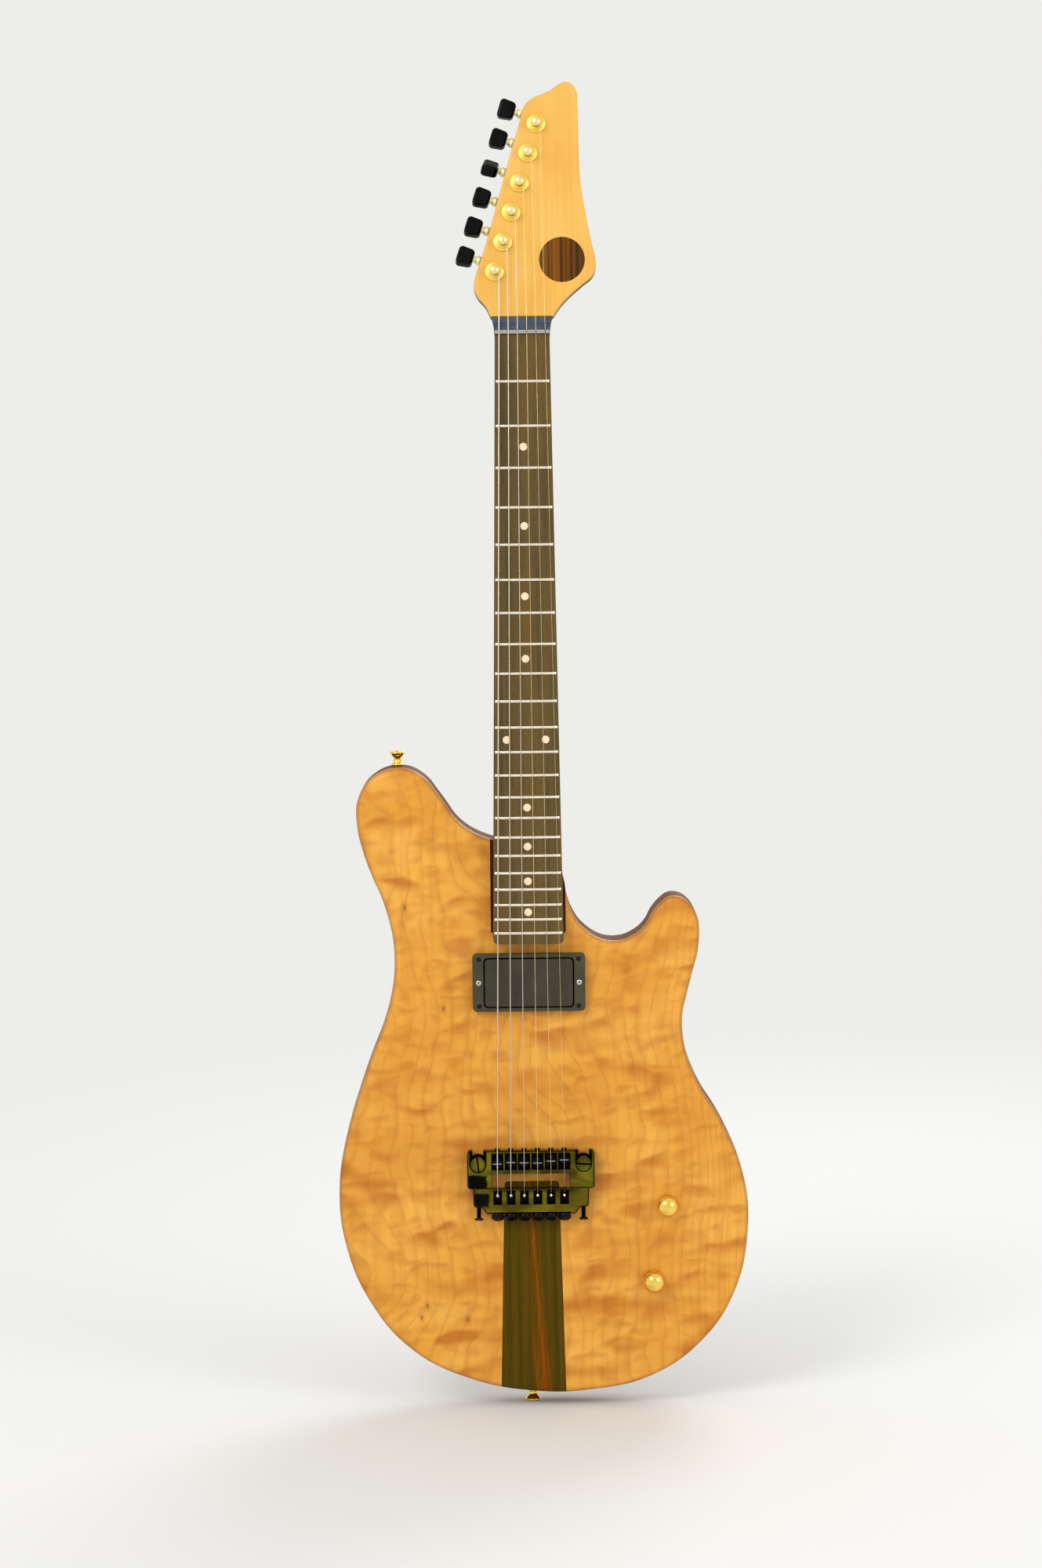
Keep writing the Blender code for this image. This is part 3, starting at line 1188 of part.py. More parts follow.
def make_strap_buttons(finishes):
    """A turned button with its screw at the horn and one at the tail."""
    profile = [
        (0.0, STRAP_HEIGHT), (STRAP_RADIUS * 0.9, STRAP_HEIGHT),
        (STRAP_RADIUS, STRAP_HEIGHT - 0.0008), (STRAP_RADIUS * 0.97, STRAP_HEIGHT - 0.0018),
        (STRAP_WAIST, STRAP_HEIGHT - 0.0058), (STRAP_WAIST, 0.0030), (STRAP_BASE, 0.0012),
        (STRAP_BASE, 0.0), (STRAP_SCREW, 0.0), (STRAP_SCREW, -STRAP_SCREW_LENGTH + GAP),
        (0.0, -STRAP_SCREW_LENGTH + GAP)]
    seats = (("horn", HORN_STRAP_X, HORN_STRAP_Z, 1), ("tail", TAIL_STRAP_X, TAIL_STRAP_Z, -1))
    for word, x, z, way in seats:
        button = turned(
            f"strap_button_{word}", profile, (x, STRAP_Y, z + way * GAP), (0, 0, way), segments=24)
        show(button, finishes["gold"])


def main():
    clear_scene()
    for name in ("guitar", "guitar_cutters"):
        bpy.context.scene.collection.children.link(bpy.data.collections.new(name))
    finishes = {
        "mahogany": finish("mahogany", "#7A4A2C", 0.45),
        "maple": finish("quilted_maple", "#EAA64E", 0.35),
        "pale_maple": finish("headstock_maple", "#F7C772", 0.4),
        "rosewood": finish("dark_rosewood", "#4A3512", 0.4),
        "fretboard_rosewood": finish("fingerboard_rosewood", "#5C5034", 0.55),
        "graphite": finish("graphite_nut", "#8C8C88", 0.4),
        "black_plastic": finish("black_plastic", "#2E2C28", 0.45),
        "black_gloss": finish("black_gloss", "#0B0B0C", 0.15),
        "black_chrome": finish("black_chrome", "#3A3A36", 0.15, 1.0),
        "gold": finish("gold_plate", "#E0B040", 0.2, 1.0),
        "steel": finish("steel", "#A8A8A8", 0.35, 1.0),
        "string_steel": finish("string_steel", "#C8C0A8", 0.3, 1.0),
    }
    frame = head_frame()
    bpy.context.view_layer.update()
    make_body(finishes)
    make_neck(finishes, frame)
    for index in range(6):
        make_tuner(index, finishes, frame)
        make_string(index, finishes, frame)
    make_bridge(finishes)
    make_pickup(finishes)
    make_controls(finishes)
    make_strap_buttons(finishes)


main()
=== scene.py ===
"""The looks of a solid-body electric guitar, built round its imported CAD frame.

Metres, +Z up the neck, the front faces -Y, the bass side is at -X. Pieces are numbered
from the treble side (1) to the bass side (6).
"""

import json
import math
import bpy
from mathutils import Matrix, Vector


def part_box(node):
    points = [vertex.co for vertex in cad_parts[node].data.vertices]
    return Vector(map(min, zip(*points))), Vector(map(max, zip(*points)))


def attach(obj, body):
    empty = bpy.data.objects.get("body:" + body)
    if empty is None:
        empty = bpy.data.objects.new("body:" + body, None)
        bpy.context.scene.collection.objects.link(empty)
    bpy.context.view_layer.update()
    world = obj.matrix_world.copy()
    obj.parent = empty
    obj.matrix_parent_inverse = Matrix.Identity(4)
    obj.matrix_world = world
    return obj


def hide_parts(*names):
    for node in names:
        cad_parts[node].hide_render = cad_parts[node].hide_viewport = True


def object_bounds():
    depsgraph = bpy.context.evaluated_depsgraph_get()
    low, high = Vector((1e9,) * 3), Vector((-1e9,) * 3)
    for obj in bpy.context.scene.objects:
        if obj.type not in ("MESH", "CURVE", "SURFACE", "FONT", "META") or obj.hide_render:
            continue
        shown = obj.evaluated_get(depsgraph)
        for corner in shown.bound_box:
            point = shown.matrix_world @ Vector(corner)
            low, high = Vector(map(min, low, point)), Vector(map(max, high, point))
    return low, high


bl_info = {
    "name": "Electric guitar",
    "version": (1, 0, 0),
    "blender": (4, 5, 0),
    "location": "3D View > Sidebar > Guitar",
    "description": "Builds a solid-body electric guitar in figured maple on its CAD frame",
    "category": "Object",
}

import bmesh
import bpy
from bpy.props import FloatProperty, FloatVectorProperty, PointerProperty
from bpy.types import Operator, Panel, PropertyGroup
from mathutils import Matrix, Vector

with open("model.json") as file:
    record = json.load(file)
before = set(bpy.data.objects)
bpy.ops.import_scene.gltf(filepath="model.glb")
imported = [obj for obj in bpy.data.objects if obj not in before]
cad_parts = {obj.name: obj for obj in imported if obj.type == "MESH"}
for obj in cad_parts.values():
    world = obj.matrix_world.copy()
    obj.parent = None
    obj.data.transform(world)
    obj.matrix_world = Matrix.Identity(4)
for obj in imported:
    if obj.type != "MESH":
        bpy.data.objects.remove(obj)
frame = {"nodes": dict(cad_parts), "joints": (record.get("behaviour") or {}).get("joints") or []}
cad_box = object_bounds()

MM = 0.001
FRONT_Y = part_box("body_top")[0].y
SEAM_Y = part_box("body_top")[1].y
CORE_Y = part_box("body_core")[0].y
NUT_Z = 0.560
SCALE_LENGTH = 0.6477
BOARD_Y = -0.055
BOARD_FOOT_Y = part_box("fretboard")[1].y
BOARD_END_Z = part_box("fretboard")[0].z
HEAD_FOOT = Vector((0.0, -0.050, 0.5735))
HEAD_TILT = math.radians(8.0)
HEAD = Matrix.Translation(HEAD_FOOT) @ Matrix.Rotation(-HEAD_TILT, 4, "X")
HEAD_DEPTH = 0.014
OVERLAY_DEPTH = 0.003
NUMBERS = (1, 2, 3, 4, 5, 6)
BUTTON_TURNS = {6: 22.0, 5: 18.0, 4: 20.0, 3: 52.0, 2: 14.0, 1: 4.0}
DOT_FRETS = (3, 5, 7, 9, 12, 15, 17, 19, 21)
# The figure of the top rises a little to the treble side
PILLOW_TILT = math.radians(-12.0)
# Pin knots in the top: x, z and half width in millimetres
KNOTS_MM = (
    (-96.9, 114.0, 1.5), (-67.5, 33.6, 1.3), (-82.9, -203.3, 1.3), (-87.6, -213.0, 1.2),
    (-51.3, -214.5, 1.3))


# --- colours and nodes ---------------------------------------------------------------


def to_linear(code):
    """Turn an sRGB hex colour into linear red, green and blue."""
    channels = [int(code[i:i + 2], 16) / 255 for i in (1, 3, 5)]
    return tuple(c / 12.92 if c <= 0.04045 else ((c + 0.055) / 1.055) ** 2.4 for c in channels)


def colour_of(value):
    """Linear red, green, blue and alpha of a hex code, a grey level or a colour property."""
    if isinstance(value, str):
        value = to_linear(value)
    elif isinstance(value, float):
        value = (value, value, value)
    return (*value, 1.0)


def feed(tree, node, inputs):
    """Give a node's inputs their values, or links from sockets or from nodes' first outputs."""
    for name, value in inputs.items():
        socket = node.inputs[name]
        if isinstance(value, bpy.types.Node):
            value = next(output for output in value.outputs if output.enabled)
        if isinstance(value, bpy.types.NodeSocket):
            tree.links.new(value, socket)
        else:
            socket.default_value = colour_of(value) if socket.type == "RGBA" else value


def add(tree, kind, inputs=(), stops=(), **settings):
    """Add a node with its settings, its colour stops, and its values or links."""
    made = tree.nodes.new("ShaderNode" + kind)
    for field, value in settings.items():
        setattr(made, field, value)
    if stops:
        ramp = made.color_ramp.elements
        ramp.remove(ramp[1])
        ramp[0].position, ramp[0].color = stops[0][0], colour_of(stops[0][1])
        for position, colour in stops[1:]:
            ramp.new(position).color = colour_of(colour)
    feed(tree, made, dict(inputs))
    return made


def cells(x, y, z):
    """Scale of a pattern whose cells have this size in millimetres."""
    return (1000.0 / x, 1000.0 / y, 1000.0 / z)


def new_material(name, sockets):
    """A Principled material with plain values on its sockets."""
    made = bpy.data.materials.new(name)
    made.use_nodes = True
    shader = made.node_tree.nodes["Principled BSDF"]
    feed(made.node_tree, shader, sockets)
    return made, made.node_tree, shader


# --- woods ---------------------------------------------------------------------------


def quilted_maple(look):
    """Quilted maple, sanded and oiled: soft pillows lie across it, growth lines run along it."""
    made, tree, shader = new_material(
        "oiled_quilted_maple", {"IOR": 1.5, "Specular IOR Level": 0.22, "Roughness": 0.42})
    coordinates = add(tree, "TexCoord").outputs
    place = coordinates["Object"]
    in_mm = add(tree, "Mapping", {"Vector": place, "Scale": cells(1, 1, 1)})
    along = add(tree, "SeparateXYZ", {"Vector": in_mm}).outputs
    # Pillows of two sizes that rise a little to the treble side, each dark under its upper edge:
    # width and height, reach of the bends, size of the patches, all in mm, and strength
    shade = 0.0
    for width, height, reach, patch, strength in (
            (36.0, 19.0, 22.0, 36, 0.84), (22.0, 11.0, 12.0, 22, 0.55)):
        bend = add(tree, "TexNoise", {
            "Vector": add(tree, "Mapping", {
                "Vector": place, "Scale": cells(width, width, width * 0.6)}),
            "Scale": 1.0, "Detail": 1.0, "Roughness": 0.4}).outputs["Color"]
        bend = add(
            tree, "VectorMath", {0: bend, 1: (reach * MM,) * 3, 2: place},
            operation="MULTIPLY_ADD")
        cell = add(tree, "Mapping", {
            "Vector": bend, "Rotation": (0.0, PILLOW_TILT, 0.0),
            "Scale": (width * MM, width * MM, height * MM)}, vector_type="TEXTURE")
        middle = add(
            tree, "TexVoronoi", {"Vector": cell, "Scale": 1.0, "Smoothness": 0.7},
            feature="SMOOTH_F1").outputs["Position"]
        offset = add(tree, "VectorMath", {0: cell, 1: middle}, operation="SUBTRACT")
        pillow = add(
            tree, "MapRange",
            {"Value": add(tree, "SeparateXYZ", {"Vector": offset}).outputs["Z"],
             "From Min": -0.35, "From Max": 0.45}, interpolation_type="SMOOTHSTEP")
        spread = add(tree, "TexNoise", {
            "Vector": add(
                tree, "Mapping", {"Vector": place, "Scale": cells(patch, patch, patch * 0.6)}),
            "Scale": 1.0, "Detail": 1.5})
        present = add(
            tree, "ValToRGB", {"Fac": spread}, stops=[(0.44, 0.05), (0.63, strength)])
        dark = add(tree, "Math", {0: pillow, 1: present}, operation="MULTIPLY")
        shade = add(tree, "Math", {0: shade, 1: dark}, operation="MAXIMUM")
    cloud = add(tree, "TexNoise", {
        "Vector": add(tree, "Mapping", {"Vector": place, "Scale": cells(70, 70, 40)}),
        "Scale": 1.0, "Detail": 2.0})
    colour = add(
        tree, "ValToRGB", {"Fac": cloud},
        stops=[(0.30, "#E59E38"), (0.48, look.maple), (0.68, "#F8B64E")])
    stripe = add(tree, "TexNoise", {
        "Vector": add(tree, "Mapping", {"Vector": place, "Scale": cells(9, 9, 170)}),
        "Scale": 1.0, "Detail": 2.0, "Distortion": 0.4})
    stripe = add(tree, "ValToRGB", {"Fac": stripe}, stops=[(0.42, 0.0), (0.66, 0.35)])
    colour = add(tree, "Mix", {0: stripe, 6: colour, 7: "#DC9238"}, data_type="RGBA")
    colour = add(tree, "Mix", {0: shade, 6: colour, 7: look.maple_figure}, data_type="RGBA")
    # Growth lines about 14 mm apart, 4 mm at the treble edge, swayed and kinked by the quilt
    edge = add(tree, "Math", {0: along["X"], 1: 92.0}, operation="SUBTRACT")
    edge = add(tree, "Math", {0: edge, 1: 0.0}, operation="MAXIMUM")
    edge = add(tree, "Math", {0: edge, 1: edge}, operation="MULTIPLY")
    across = add(tree, "Math", {0: edge, 1: 0.02, 2: along["X"]}, operation="MULTIPLY_ADD")
    for size, reach in (((85, 85, 85), 80.0), ((34, 34, 24), 10.0)):
        sway = add(tree, "TexNoise", {
            "Vector": add(tree, "Mapping", {"Vector": place, "Scale": cells(*size)}),
            "Scale": 1.0, "Detail": 0.5})
        across = add(tree, "Math", {0: sway, 1: reach, 2: across}, operation="MULTIPLY_ADD")
    season = add(
        tree, "TexNoise",
        {"W": add(tree, "Math", {0: across, 1: 1 / 21.0}, operation="MULTIPLY"), "Scale": 1.0},
        noise_dimensions="1D")
    across = add(tree, "Math", {0: season, 1: 16.0, 2: across}, operation="MULTIPLY_ADD")
    across = add(tree, "Math", {0: across, 1: 1 / 14.0}, operation="MULTIPLY")
    line = add(
        tree, "ValToRGB", {"Fac": add(tree, "Math", {0: across}, operation="FRACT")},
        stops=[(0.0, 0.35), (0.09, 0.0), (0.60, 0.06), (0.84, 0.45), (0.92, 1.0), (1.0, 0.35)])
    fade = add(tree, "MapRange", {
        "Value": spread, "From Min": 0.35, "From Max": 0.65, "To Min": 0.28, "To Max": 0.12})
    share = add(tree, "Math", {0: line, 1: fade}, operation="MULTIPLY")
    colour = add(tree, "Mix", {0: share, 6: colour, 7: look.maple_line}, data_type="RGBA")
    # Fine grain, drawn 0.5 mm wide so that it shows
    grain = add(tree, "TexNoise", {
        "Vector": add(tree, "Mapping", {"Vector": place, "Scale": cells(0.5, 0.5, 14)}),
        "Scale": 1.0, "Detail": 2.0})
    fleck = add(tree, "ValToRGB", {"Fac": grain}, stops=[(0.3, 0.93), (0.7, 1.0)])
    colour = add(
        tree, "Mix", {0: 1.0, 6: colour, 7: fleck}, data_type="RGBA", blend_type="MULTIPLY")
    # Pin knots, longer along the grain
    longer = add(tree, "Mapping", {"Vector": place, "Scale": cells(1, 1, 1.7)})
    for x, z, size in KNOTS_MM:
        away = add(
            tree, "VectorMath", {0: longer, 1: (x, FRONT_Y / MM, z / 1.7)}, operation="DISTANCE")
        reach = add(
            tree, "Math", {0: away.outputs["Value"], 1: 1 / (size * 3.0)}, operation="MULTIPLY")
        spot = add(
            tree, "ValToRGB", {"Fac": reach},
            stops=[(0.0, 0.85), (0.20, 0.7), (0.42, 0.25), (1.0, 0.0)])
        colour = add(tree, "Mix", {0: spot, 6: colour, 7: "#94521A"}, data_type="RGBA")
    # Round the rim, where the surface turns away from the front, the colour goes browner: painted shade
    normal = add(tree, "SeparateXYZ", {"Vector": coordinates["Normal"]})
    facing = add(tree, "Math", {0: normal.outputs["Y"], 1: -1.0}, operation="MULTIPLY")
    rim = add(
        tree, "ValToRGB", {"Fac": facing},
        stops=[(0.0, 0.30), (0.30, 0.50), (0.62, 0.42), (0.82, 0.20), (0.98, 0.0)])
    colour = add(tree, "Mix", {0: rim, 6: colour, 7: "#8A5C34"}, data_type="RGBA")
    feed(tree, shader, {
        "Base Color": colour,
        "Roughness": add(tree, "MapRange", {"Value": shade, "To Min": 0.38, "To Max": 0.48}),
        "Normal": add(tree, "Bump", {"Height": grain, "Distance": 0.012 * MM})})
    return made


def plain_maple(look):
    """Plain pale maple under clear satin: faint straight grain with a few soft clouds."""
    made, tree, shader = new_material(
        "satin_maple", {"IOR": 1.5, "Specular IOR Level": 0.25, "Roughness": 0.38})
    place = add(tree, "TexCoord").outputs["Object"]
    cloud = add(tree, "TexNoise", {
        "Vector": add(tree, "Mapping", {"Vector": place, "Scale": cells(26, 26, 60)}),
        "Scale": 1.0, "Detail": 2.0})
    colour = add(
        tree, "ValToRGB", {"Fac": cloud},
        stops=[(0.3, "#F3C064"), (0.5, look.headstock), (0.76, "#ECB04C")])
    # Growth streaks 1.6 mm wide
    streak = add(tree, "TexNoise", {
        "Vector": add(tree, "Mapping", {"Vector": place, "Scale": cells(1.6, 60, 90)}),
        "Scale": 1.0, "Detail": 3.0, "Distortion": 0.3})
    fleck = add(tree, "ValToRGB", {"Fac": streak}, stops=[(0.35, 0.94), (0.6, 1.0)])
    feed(tree, shader, {
        "Base Color": add(
            tree, "Mix", {0: 1.0, 6: colour, 7: fleck}, data_type="RGBA", blend_type="MULTIPLY"),
        "Normal": add(tree, "Bump", {"Height": streak, "Distance": 0.01 * MM})})
    return made


def mahogany(name, light, dark, roughness):
    """Mahogany, sanded and oiled: straight grain with short dark pores, hardly any shine."""
    made, tree, shader = new_material(
        name, {"IOR": 1.5, "Specular IOR Level": 0.04, "Roughness": roughness})
    place = add(tree, "TexCoord").outputs["Object"]
    band = add(tree, "TexNoise", {
        "Vector": add(tree, "Mapping", {"Vector": place, "Scale": cells(5, 5, 130)}),
        "Scale": 1.0, "Detail": 3.0, "Distortion": 0.4})
    colour = add(tree, "ValToRGB", {"Fac": band}, stops=[(0.32, dark), (0.66, light)])
    # Pores are 0.2 mm wide in mahogany, drawn 0.5 mm wide so that they show
    pore = add(tree, "TexNoise", {
        "Vector": add(tree, "Mapping", {"Vector": place, "Scale": cells(0.5, 0.5, 9)}),
        "Scale": 1.0, "Detail": 1.0})
    mask = add(tree, "ValToRGB", {"Fac": pore}, stops=[(0.60, 0.0), (0.68, 1.0)])
    share = add(tree, "Math", {0: mask, 1: 0.55}, operation="MULTIPLY")
    feed(tree, shader, {
        "Base Color": add(tree, "Mix", {0: share, 6: colour, 7: "#2A1208"}, data_type="RGBA"),
        "Normal": add(tree, "Bump", {"Height": mask, "Distance": 0.03 * MM}, invert=True)})
    return made


def rosewood_strip(look):
    """Oiled dark rosewood: olive brown fibres, with an orange streak that fans out at the foot."""
    made, tree, shader = new_material(
        "oiled_rosewood", {"IOR": 1.5, "Specular IOR Level": 0.05, "Roughness": 0.45})
    place = add(tree, "TexCoord").outputs["Object"]
    in_mm = add(tree, "Mapping", {"Vector": place, "Scale": cells(1, 1, 1)})
    along = add(tree, "SeparateXYZ", {"Vector": in_mm}).outputs
    band = add(tree, "TexNoise", {
        "Vector": add(tree, "Mapping", {"Vector": place, "Scale": cells(4, 4, 190)}),
        "Scale": 1.0, "Detail": 4.0, "Distortion": 0.3})
    colour = add(
        tree, "ValToRGB", {"Fac": band},
        stops=[(0.30, "#463804"), (0.50, look.strip), (0.72, "#64480E")])
    wander = add(tree, "TexNoise", {
        "Vector": add(tree, "Mapping", {"Vector": place, "Scale": cells(60, 60, 30)}),
        "Scale": 1.0})
    line = add(
        tree, "Math", {0: along["Z"], 1: 0.072, 2: along["X"]}, operation="MULTIPLY_ADD")
    line = add(tree, "Math", {0: wander, 1: 4.0, 2: line}, operation="MULTIPLY_ADD")
    fibre = add(tree, "TexNoise", {
        "Vector": add(tree, "Mapping", {"Vector": place, "Scale": cells(0.9, 0.9, 24)}),
        "Scale": 1.0, "Detail": 3.0})
    thick = add(tree, "MapRange", {
        "Value": fibre, "From Min": 0.32, "From Max": 0.66, "To Min": 0.30, "To Max": 1.25})
    colour = add(
        tree, "Mix",
        {0: 1.0, 6: colour, 7: add(
            tree, "ValToRGB", {"Fac": fibre}, stops=[(0.35, 0.80), (0.65, 1.0)])},
        data_type="RGBA", blend_type="MULTIPLY")
    foot = add(
        tree, "MapRange", {"Value": along["Z"], "From Min": -205.0, "From Max": -258.0},
        interpolation_type="SMOOTHSTEP")
    # Streaks: middle and half width in millimetres, strength, and what the foot adds to it
    for middle, width, strength, more in (
            (-7.4, 2.0, 0.66, 0.10), (-9.0, 10.0, 0.16, 0.26), (-13.6, 1.6, 0.04, 0.42),
            (-3.6, 1.4, 0.04, 0.42)):
        away = add(tree, "Math", {0: line, 1: middle}, operation="SUBTRACT")
        away = add(tree, "Math", {0: away}, operation="ABSOLUTE")
        share = add(tree, "MapRange", {
            "Value": away, "From Min": 0.0, "From Max": width, "To Min": 1.0, "To Max": 0.0},
            interpolation_type="SMOOTHSTEP")
        depth = add(tree, "Math", {0: foot, 1: more, 2: strength}, operation="MULTIPLY_ADD")
        share = add(tree, "Math", {0: share, 1: depth}, operation="MULTIPLY")
        share = add(tree, "Math", {0: share, 1: thick}, operation="MULTIPLY")
        colour = add(tree, "Mix", {0: share, 6: colour, 7: look.strip_streak}, data_type="RGBA")
    feed(tree, shader, {
        "Base Color": colour,
        "Normal": add(tree, "Bump", {"Height": fibre, "Distance": 0.03 * MM})})
    return made


def rosewood_board(look):
    """Fingerboard rosewood, oiled and played: grey brown with warm streaks and open pores."""
    made, tree, shader = new_material(
        "played_rosewood", {"IOR": 1.5, "Specular IOR Level": 0.15, "Roughness": 0.5})
    place = add(tree, "TexCoord").outputs["Object"]
    band = add(tree, "TexNoise", {
        "Vector": add(tree, "Mapping", {"Vector": place, "Scale": cells(6, 6, 150)}),
        "Scale": 1.0, "Detail": 4.0, "Distortion": 0.4})
    colour = add(
        tree, "ValToRGB", {"Fac": band},
        stops=[(0.30, "#524527"), (0.46, look.fingerboard), (0.58, "#69542B"),
               (0.72, "#765326")])
    pore = add(tree, "TexNoise", {
        "Vector": add(tree, "Mapping", {"Vector": place, "Scale": cells(0.5, 0.5, 6)}),
        "Scale": 1.0, "Detail": 1.0})
    mask = add(tree, "ValToRGB", {"Fac": pore}, stops=[(0.58, 0.0), (0.66, 1.0)])
    share = add(tree, "Math", {0: mask, 1: 0.3}, operation="MULTIPLY")
    feed(tree, shader, {
        "Base Color": add(tree, "Mix", {0: share, 6: colour, 7: "#2A2012"}, data_type="RGBA"),
        "Normal": add(tree, "Bump", {"Height": mask, "Distance": 0.04 * MM}, invert=True)})
    return made


def zebra_inlay(look):
    """Striped dark wood let into the headstock, polished flush."""
    made, tree, shader = new_material(
        "polished_striped_wood", {"IOR": 1.5, "Specular IOR Level": 0.15, "Roughness": 0.3})
    place = add(tree, "TexCoord").outputs["Object"]
    colour = None
    for width, dark, pale in ((8.0, "#3A2004", "#7C4806"), (2.2, "#482A04", "#884F08")):
        band = add(tree, "TexNoise", {
            "Vector": add(tree, "Mapping", {"Vector": place, "Scale": cells(width, 900, 900)}),
            "Scale": 1.0, "Detail": 1.0})
        stripes = add(
            tree, "ValToRGB", {"Fac": band},
            stops=[(0.40, dark), (0.5, look.inlay), (0.60, pale)])
        colour = stripes if colour is None else add(
            tree, "Mix", {0: 0.5, 6: colour, 7: stripes}, data_type="RGBA")
    feed(tree, shader, {
        "Base Color": colour,
        "Normal": add(tree, "Bump", {"Height": band, "Distance": 0.01 * MM})})
    return made


def ramp_ebony(look):
    """Slate-dark veneer behind the nut, sanded to satin; its blue grey is a painted reflection of
    bluish surroundings.
    """
    made, tree, shader = new_material(
        "satin_dark_veneer", {"IOR": 1.5, "Specular IOR Level": 0.35, "Roughness": 0.42})
    place = add(tree, "TexCoord").outputs["Object"]
    band = add(tree, "TexNoise", {
        "Vector": add(tree, "Mapping", {"Vector": place, "Scale": cells(3, 3, 40)}),
        "Scale": 1.0, "Detail": 2.0})
    feed(tree, shader, {
        "Base Color": add(
            tree, "ValToRGB", {"Fac": band}, stops=[(0.34, "#3A4452"), (0.66, look.ramp)]),
        "Normal": add(tree, "Bump", {"Height": band, "Distance": 0.01 * MM})})
    return made


# --- metals and plastics -------------------------------------------------------------


def plated(name, bright, wear_and_painted_edge_light, roughness, grit=0.6, depth=0.004):
    """Polished plating: a clean metal that is a little duller and rougher in patches."""
    made, tree, shader = new_material(name, {"Metallic": 1.0, "Roughness": roughness})
    place = add(tree, "TexCoord").outputs["Object"]
    patch = add(tree, "TexNoise", {
        "Vector": add(tree, "Mapping", {"Vector": place, "Scale": cells(6, 6, 6)}),
        "Scale": 1.0, "Detail": 3.0})
    fine = add(tree, "TexNoise", {
        "Vector": add(tree, "Mapping", {"Vector": place, "Scale": cells(grit, grit, grit)}),
        "Scale": 1.0, "Detail": 2.0})
    feed(tree, shader, {
        "Base Color": add(tree, "ValToRGB", {"Fac": patch}, stops=[(0.25, wear_and_painted_edge_light), (0.7, bright)]),
        "Roughness": add(tree, "MapRange", {
            "Value": patch, "From Min": 0.3, "From Max": 0.7,
            "To Min": roughness * 1.3, "To Max": roughness * 0.9}),
        "Normal": add(tree, "Bump", {"Height": fine, "Distance": depth * MM})})
    return made


def black_chrome(look):
    """Black chrome on a polished casting: olive on its front, near black in its wells.

    Its sides are painted near black as painted reflection, its wells near black as painted shade, dark
    pools on its front are painted reflection and shade, and the bevels round its front edges carry a
    painted grey highlight line.
    """
    made, tree, shader = new_material("black_chrome_plate", {"Metallic": 1.0, "Roughness": 0.14})
    coordinates = add(tree, "TexCoord").outputs
    place = coordinates["Object"]
    in_mm = add(tree, "Mapping", {"Vector": place, "Scale": cells(1, 1, 1)})
    patch = add(
        tree, "TexNoise", {
            "Vector": add(tree, "Mapping", {"Vector": place, "Scale": cells(22, 22, 12)}),
            "Scale": 1.0, "Detail": 1.0, "Distortion": 0.6})
    olive = add(
        tree, "ValToRGB", {"Fac": patch},
        stops=[(0.34, "#4A4313"), (0.50, "#665C16"), (0.66, look.bridge)])
    # Painted reflections and shade: dark pools where the casting reflected a dark room, and dark bands
    # along its recesses: x, z, half width and half height in mm, and strength
    for x, z, wide, high, strength in (
            (-41.5, -102.6, 7.4, 5.4, 0.98), (-39.0, -117.4, 5.6, 5.0, 0.96),
            (0.0, -94.8, 34.0, 2.2, 0.35), (0.0, -109.4, 32.0, 1.2, 0.5)):
        away = add(tree, "VectorMath", {0: in_mm, 1: (x, 0.0, z)}, operation="SUBTRACT")
        away = add(
            tree, "VectorMath", {0: away, 1: (1 / wide, 0.0, 1 / high)}, operation="MULTIPLY")
        away = add(tree, "VectorMath", {0: away}, operation="ABSOLUTE")
        sides = add(tree, "SeparateXYZ", {"Vector": away}).outputs
        reach = add(tree, "Math", {0: sides["X"], 1: sides["Z"]}, operation="MAXIMUM")
        reach = add(tree, "Math", {0: patch, 1: 0.7, 2: reach}, operation="MULTIPLY_ADD")
        painted_reflection_shade = add(tree, "MapRange", {
            "Value": reach, "From Min": 1.22, "From Max": 1.54, "To Min": strength,
            "To Max": 0.0}, interpolation_type="SMOOTHSTEP")
        olive = add(tree, "Mix", {0: painted_reflection_shade, 6: olive, 7: "#08080A"}, data_type="RGBA")
    # Painted edge light: faces turned away from the front are painted near black as painted reflection,
    # and the bevels between side and front get a painted grey highlight line
    normal = add(tree, "SeparateXYZ", {"Vector": coordinates["Normal"]})
    facing = add(tree, "Math", {0: normal.outputs["Y"], 1: -1.0}, operation="MULTIPLY")
    flat = add(tree, "MapRange", {"Value": facing, "From Min": 0.93, "From Max": 0.99})
    wear_and_painted_edge_light = add(
        tree, "ValToRGB", {"Fac": facing},
        stops=[(0.45, "#0A0A08"), (0.68, "#6E6A58"), (0.80, "#14140C"), (0.93, "#0E0E08")])
    # Painted shade: all that lies behind the front face, in the wells and bays, is painted near black
    depth = add(tree, "SeparateXYZ", {"Vector": in_mm}).outputs["Y"]
    front = add(tree, "MapRange", {
        "Value": depth, "From Min": -55.0, "From Max": -53.6, "To Min": 1.0, "To Max": 0.0})
    colour = add(tree, "Mix", {0: flat, 6: wear_and_painted_edge_light, 7: olive}, data_type="RGBA")
    fine = add(tree, "TexNoise", {
        "Vector": add(tree, "Mapping", {"Vector": place, "Scale": cells(2.5, 2.5, 2.5)}),
        "Scale": 1.0, "Detail": 3.0})
    feed(tree, shader, {
        "Base Color": add(tree, "Mix", {0: front, 6: "#0C0C0A", 7: colour}, data_type="RGBA"),
        "Normal": add(tree, "Bump", {"Height": fine, "Distance": 0.012 * MM})})
    return made


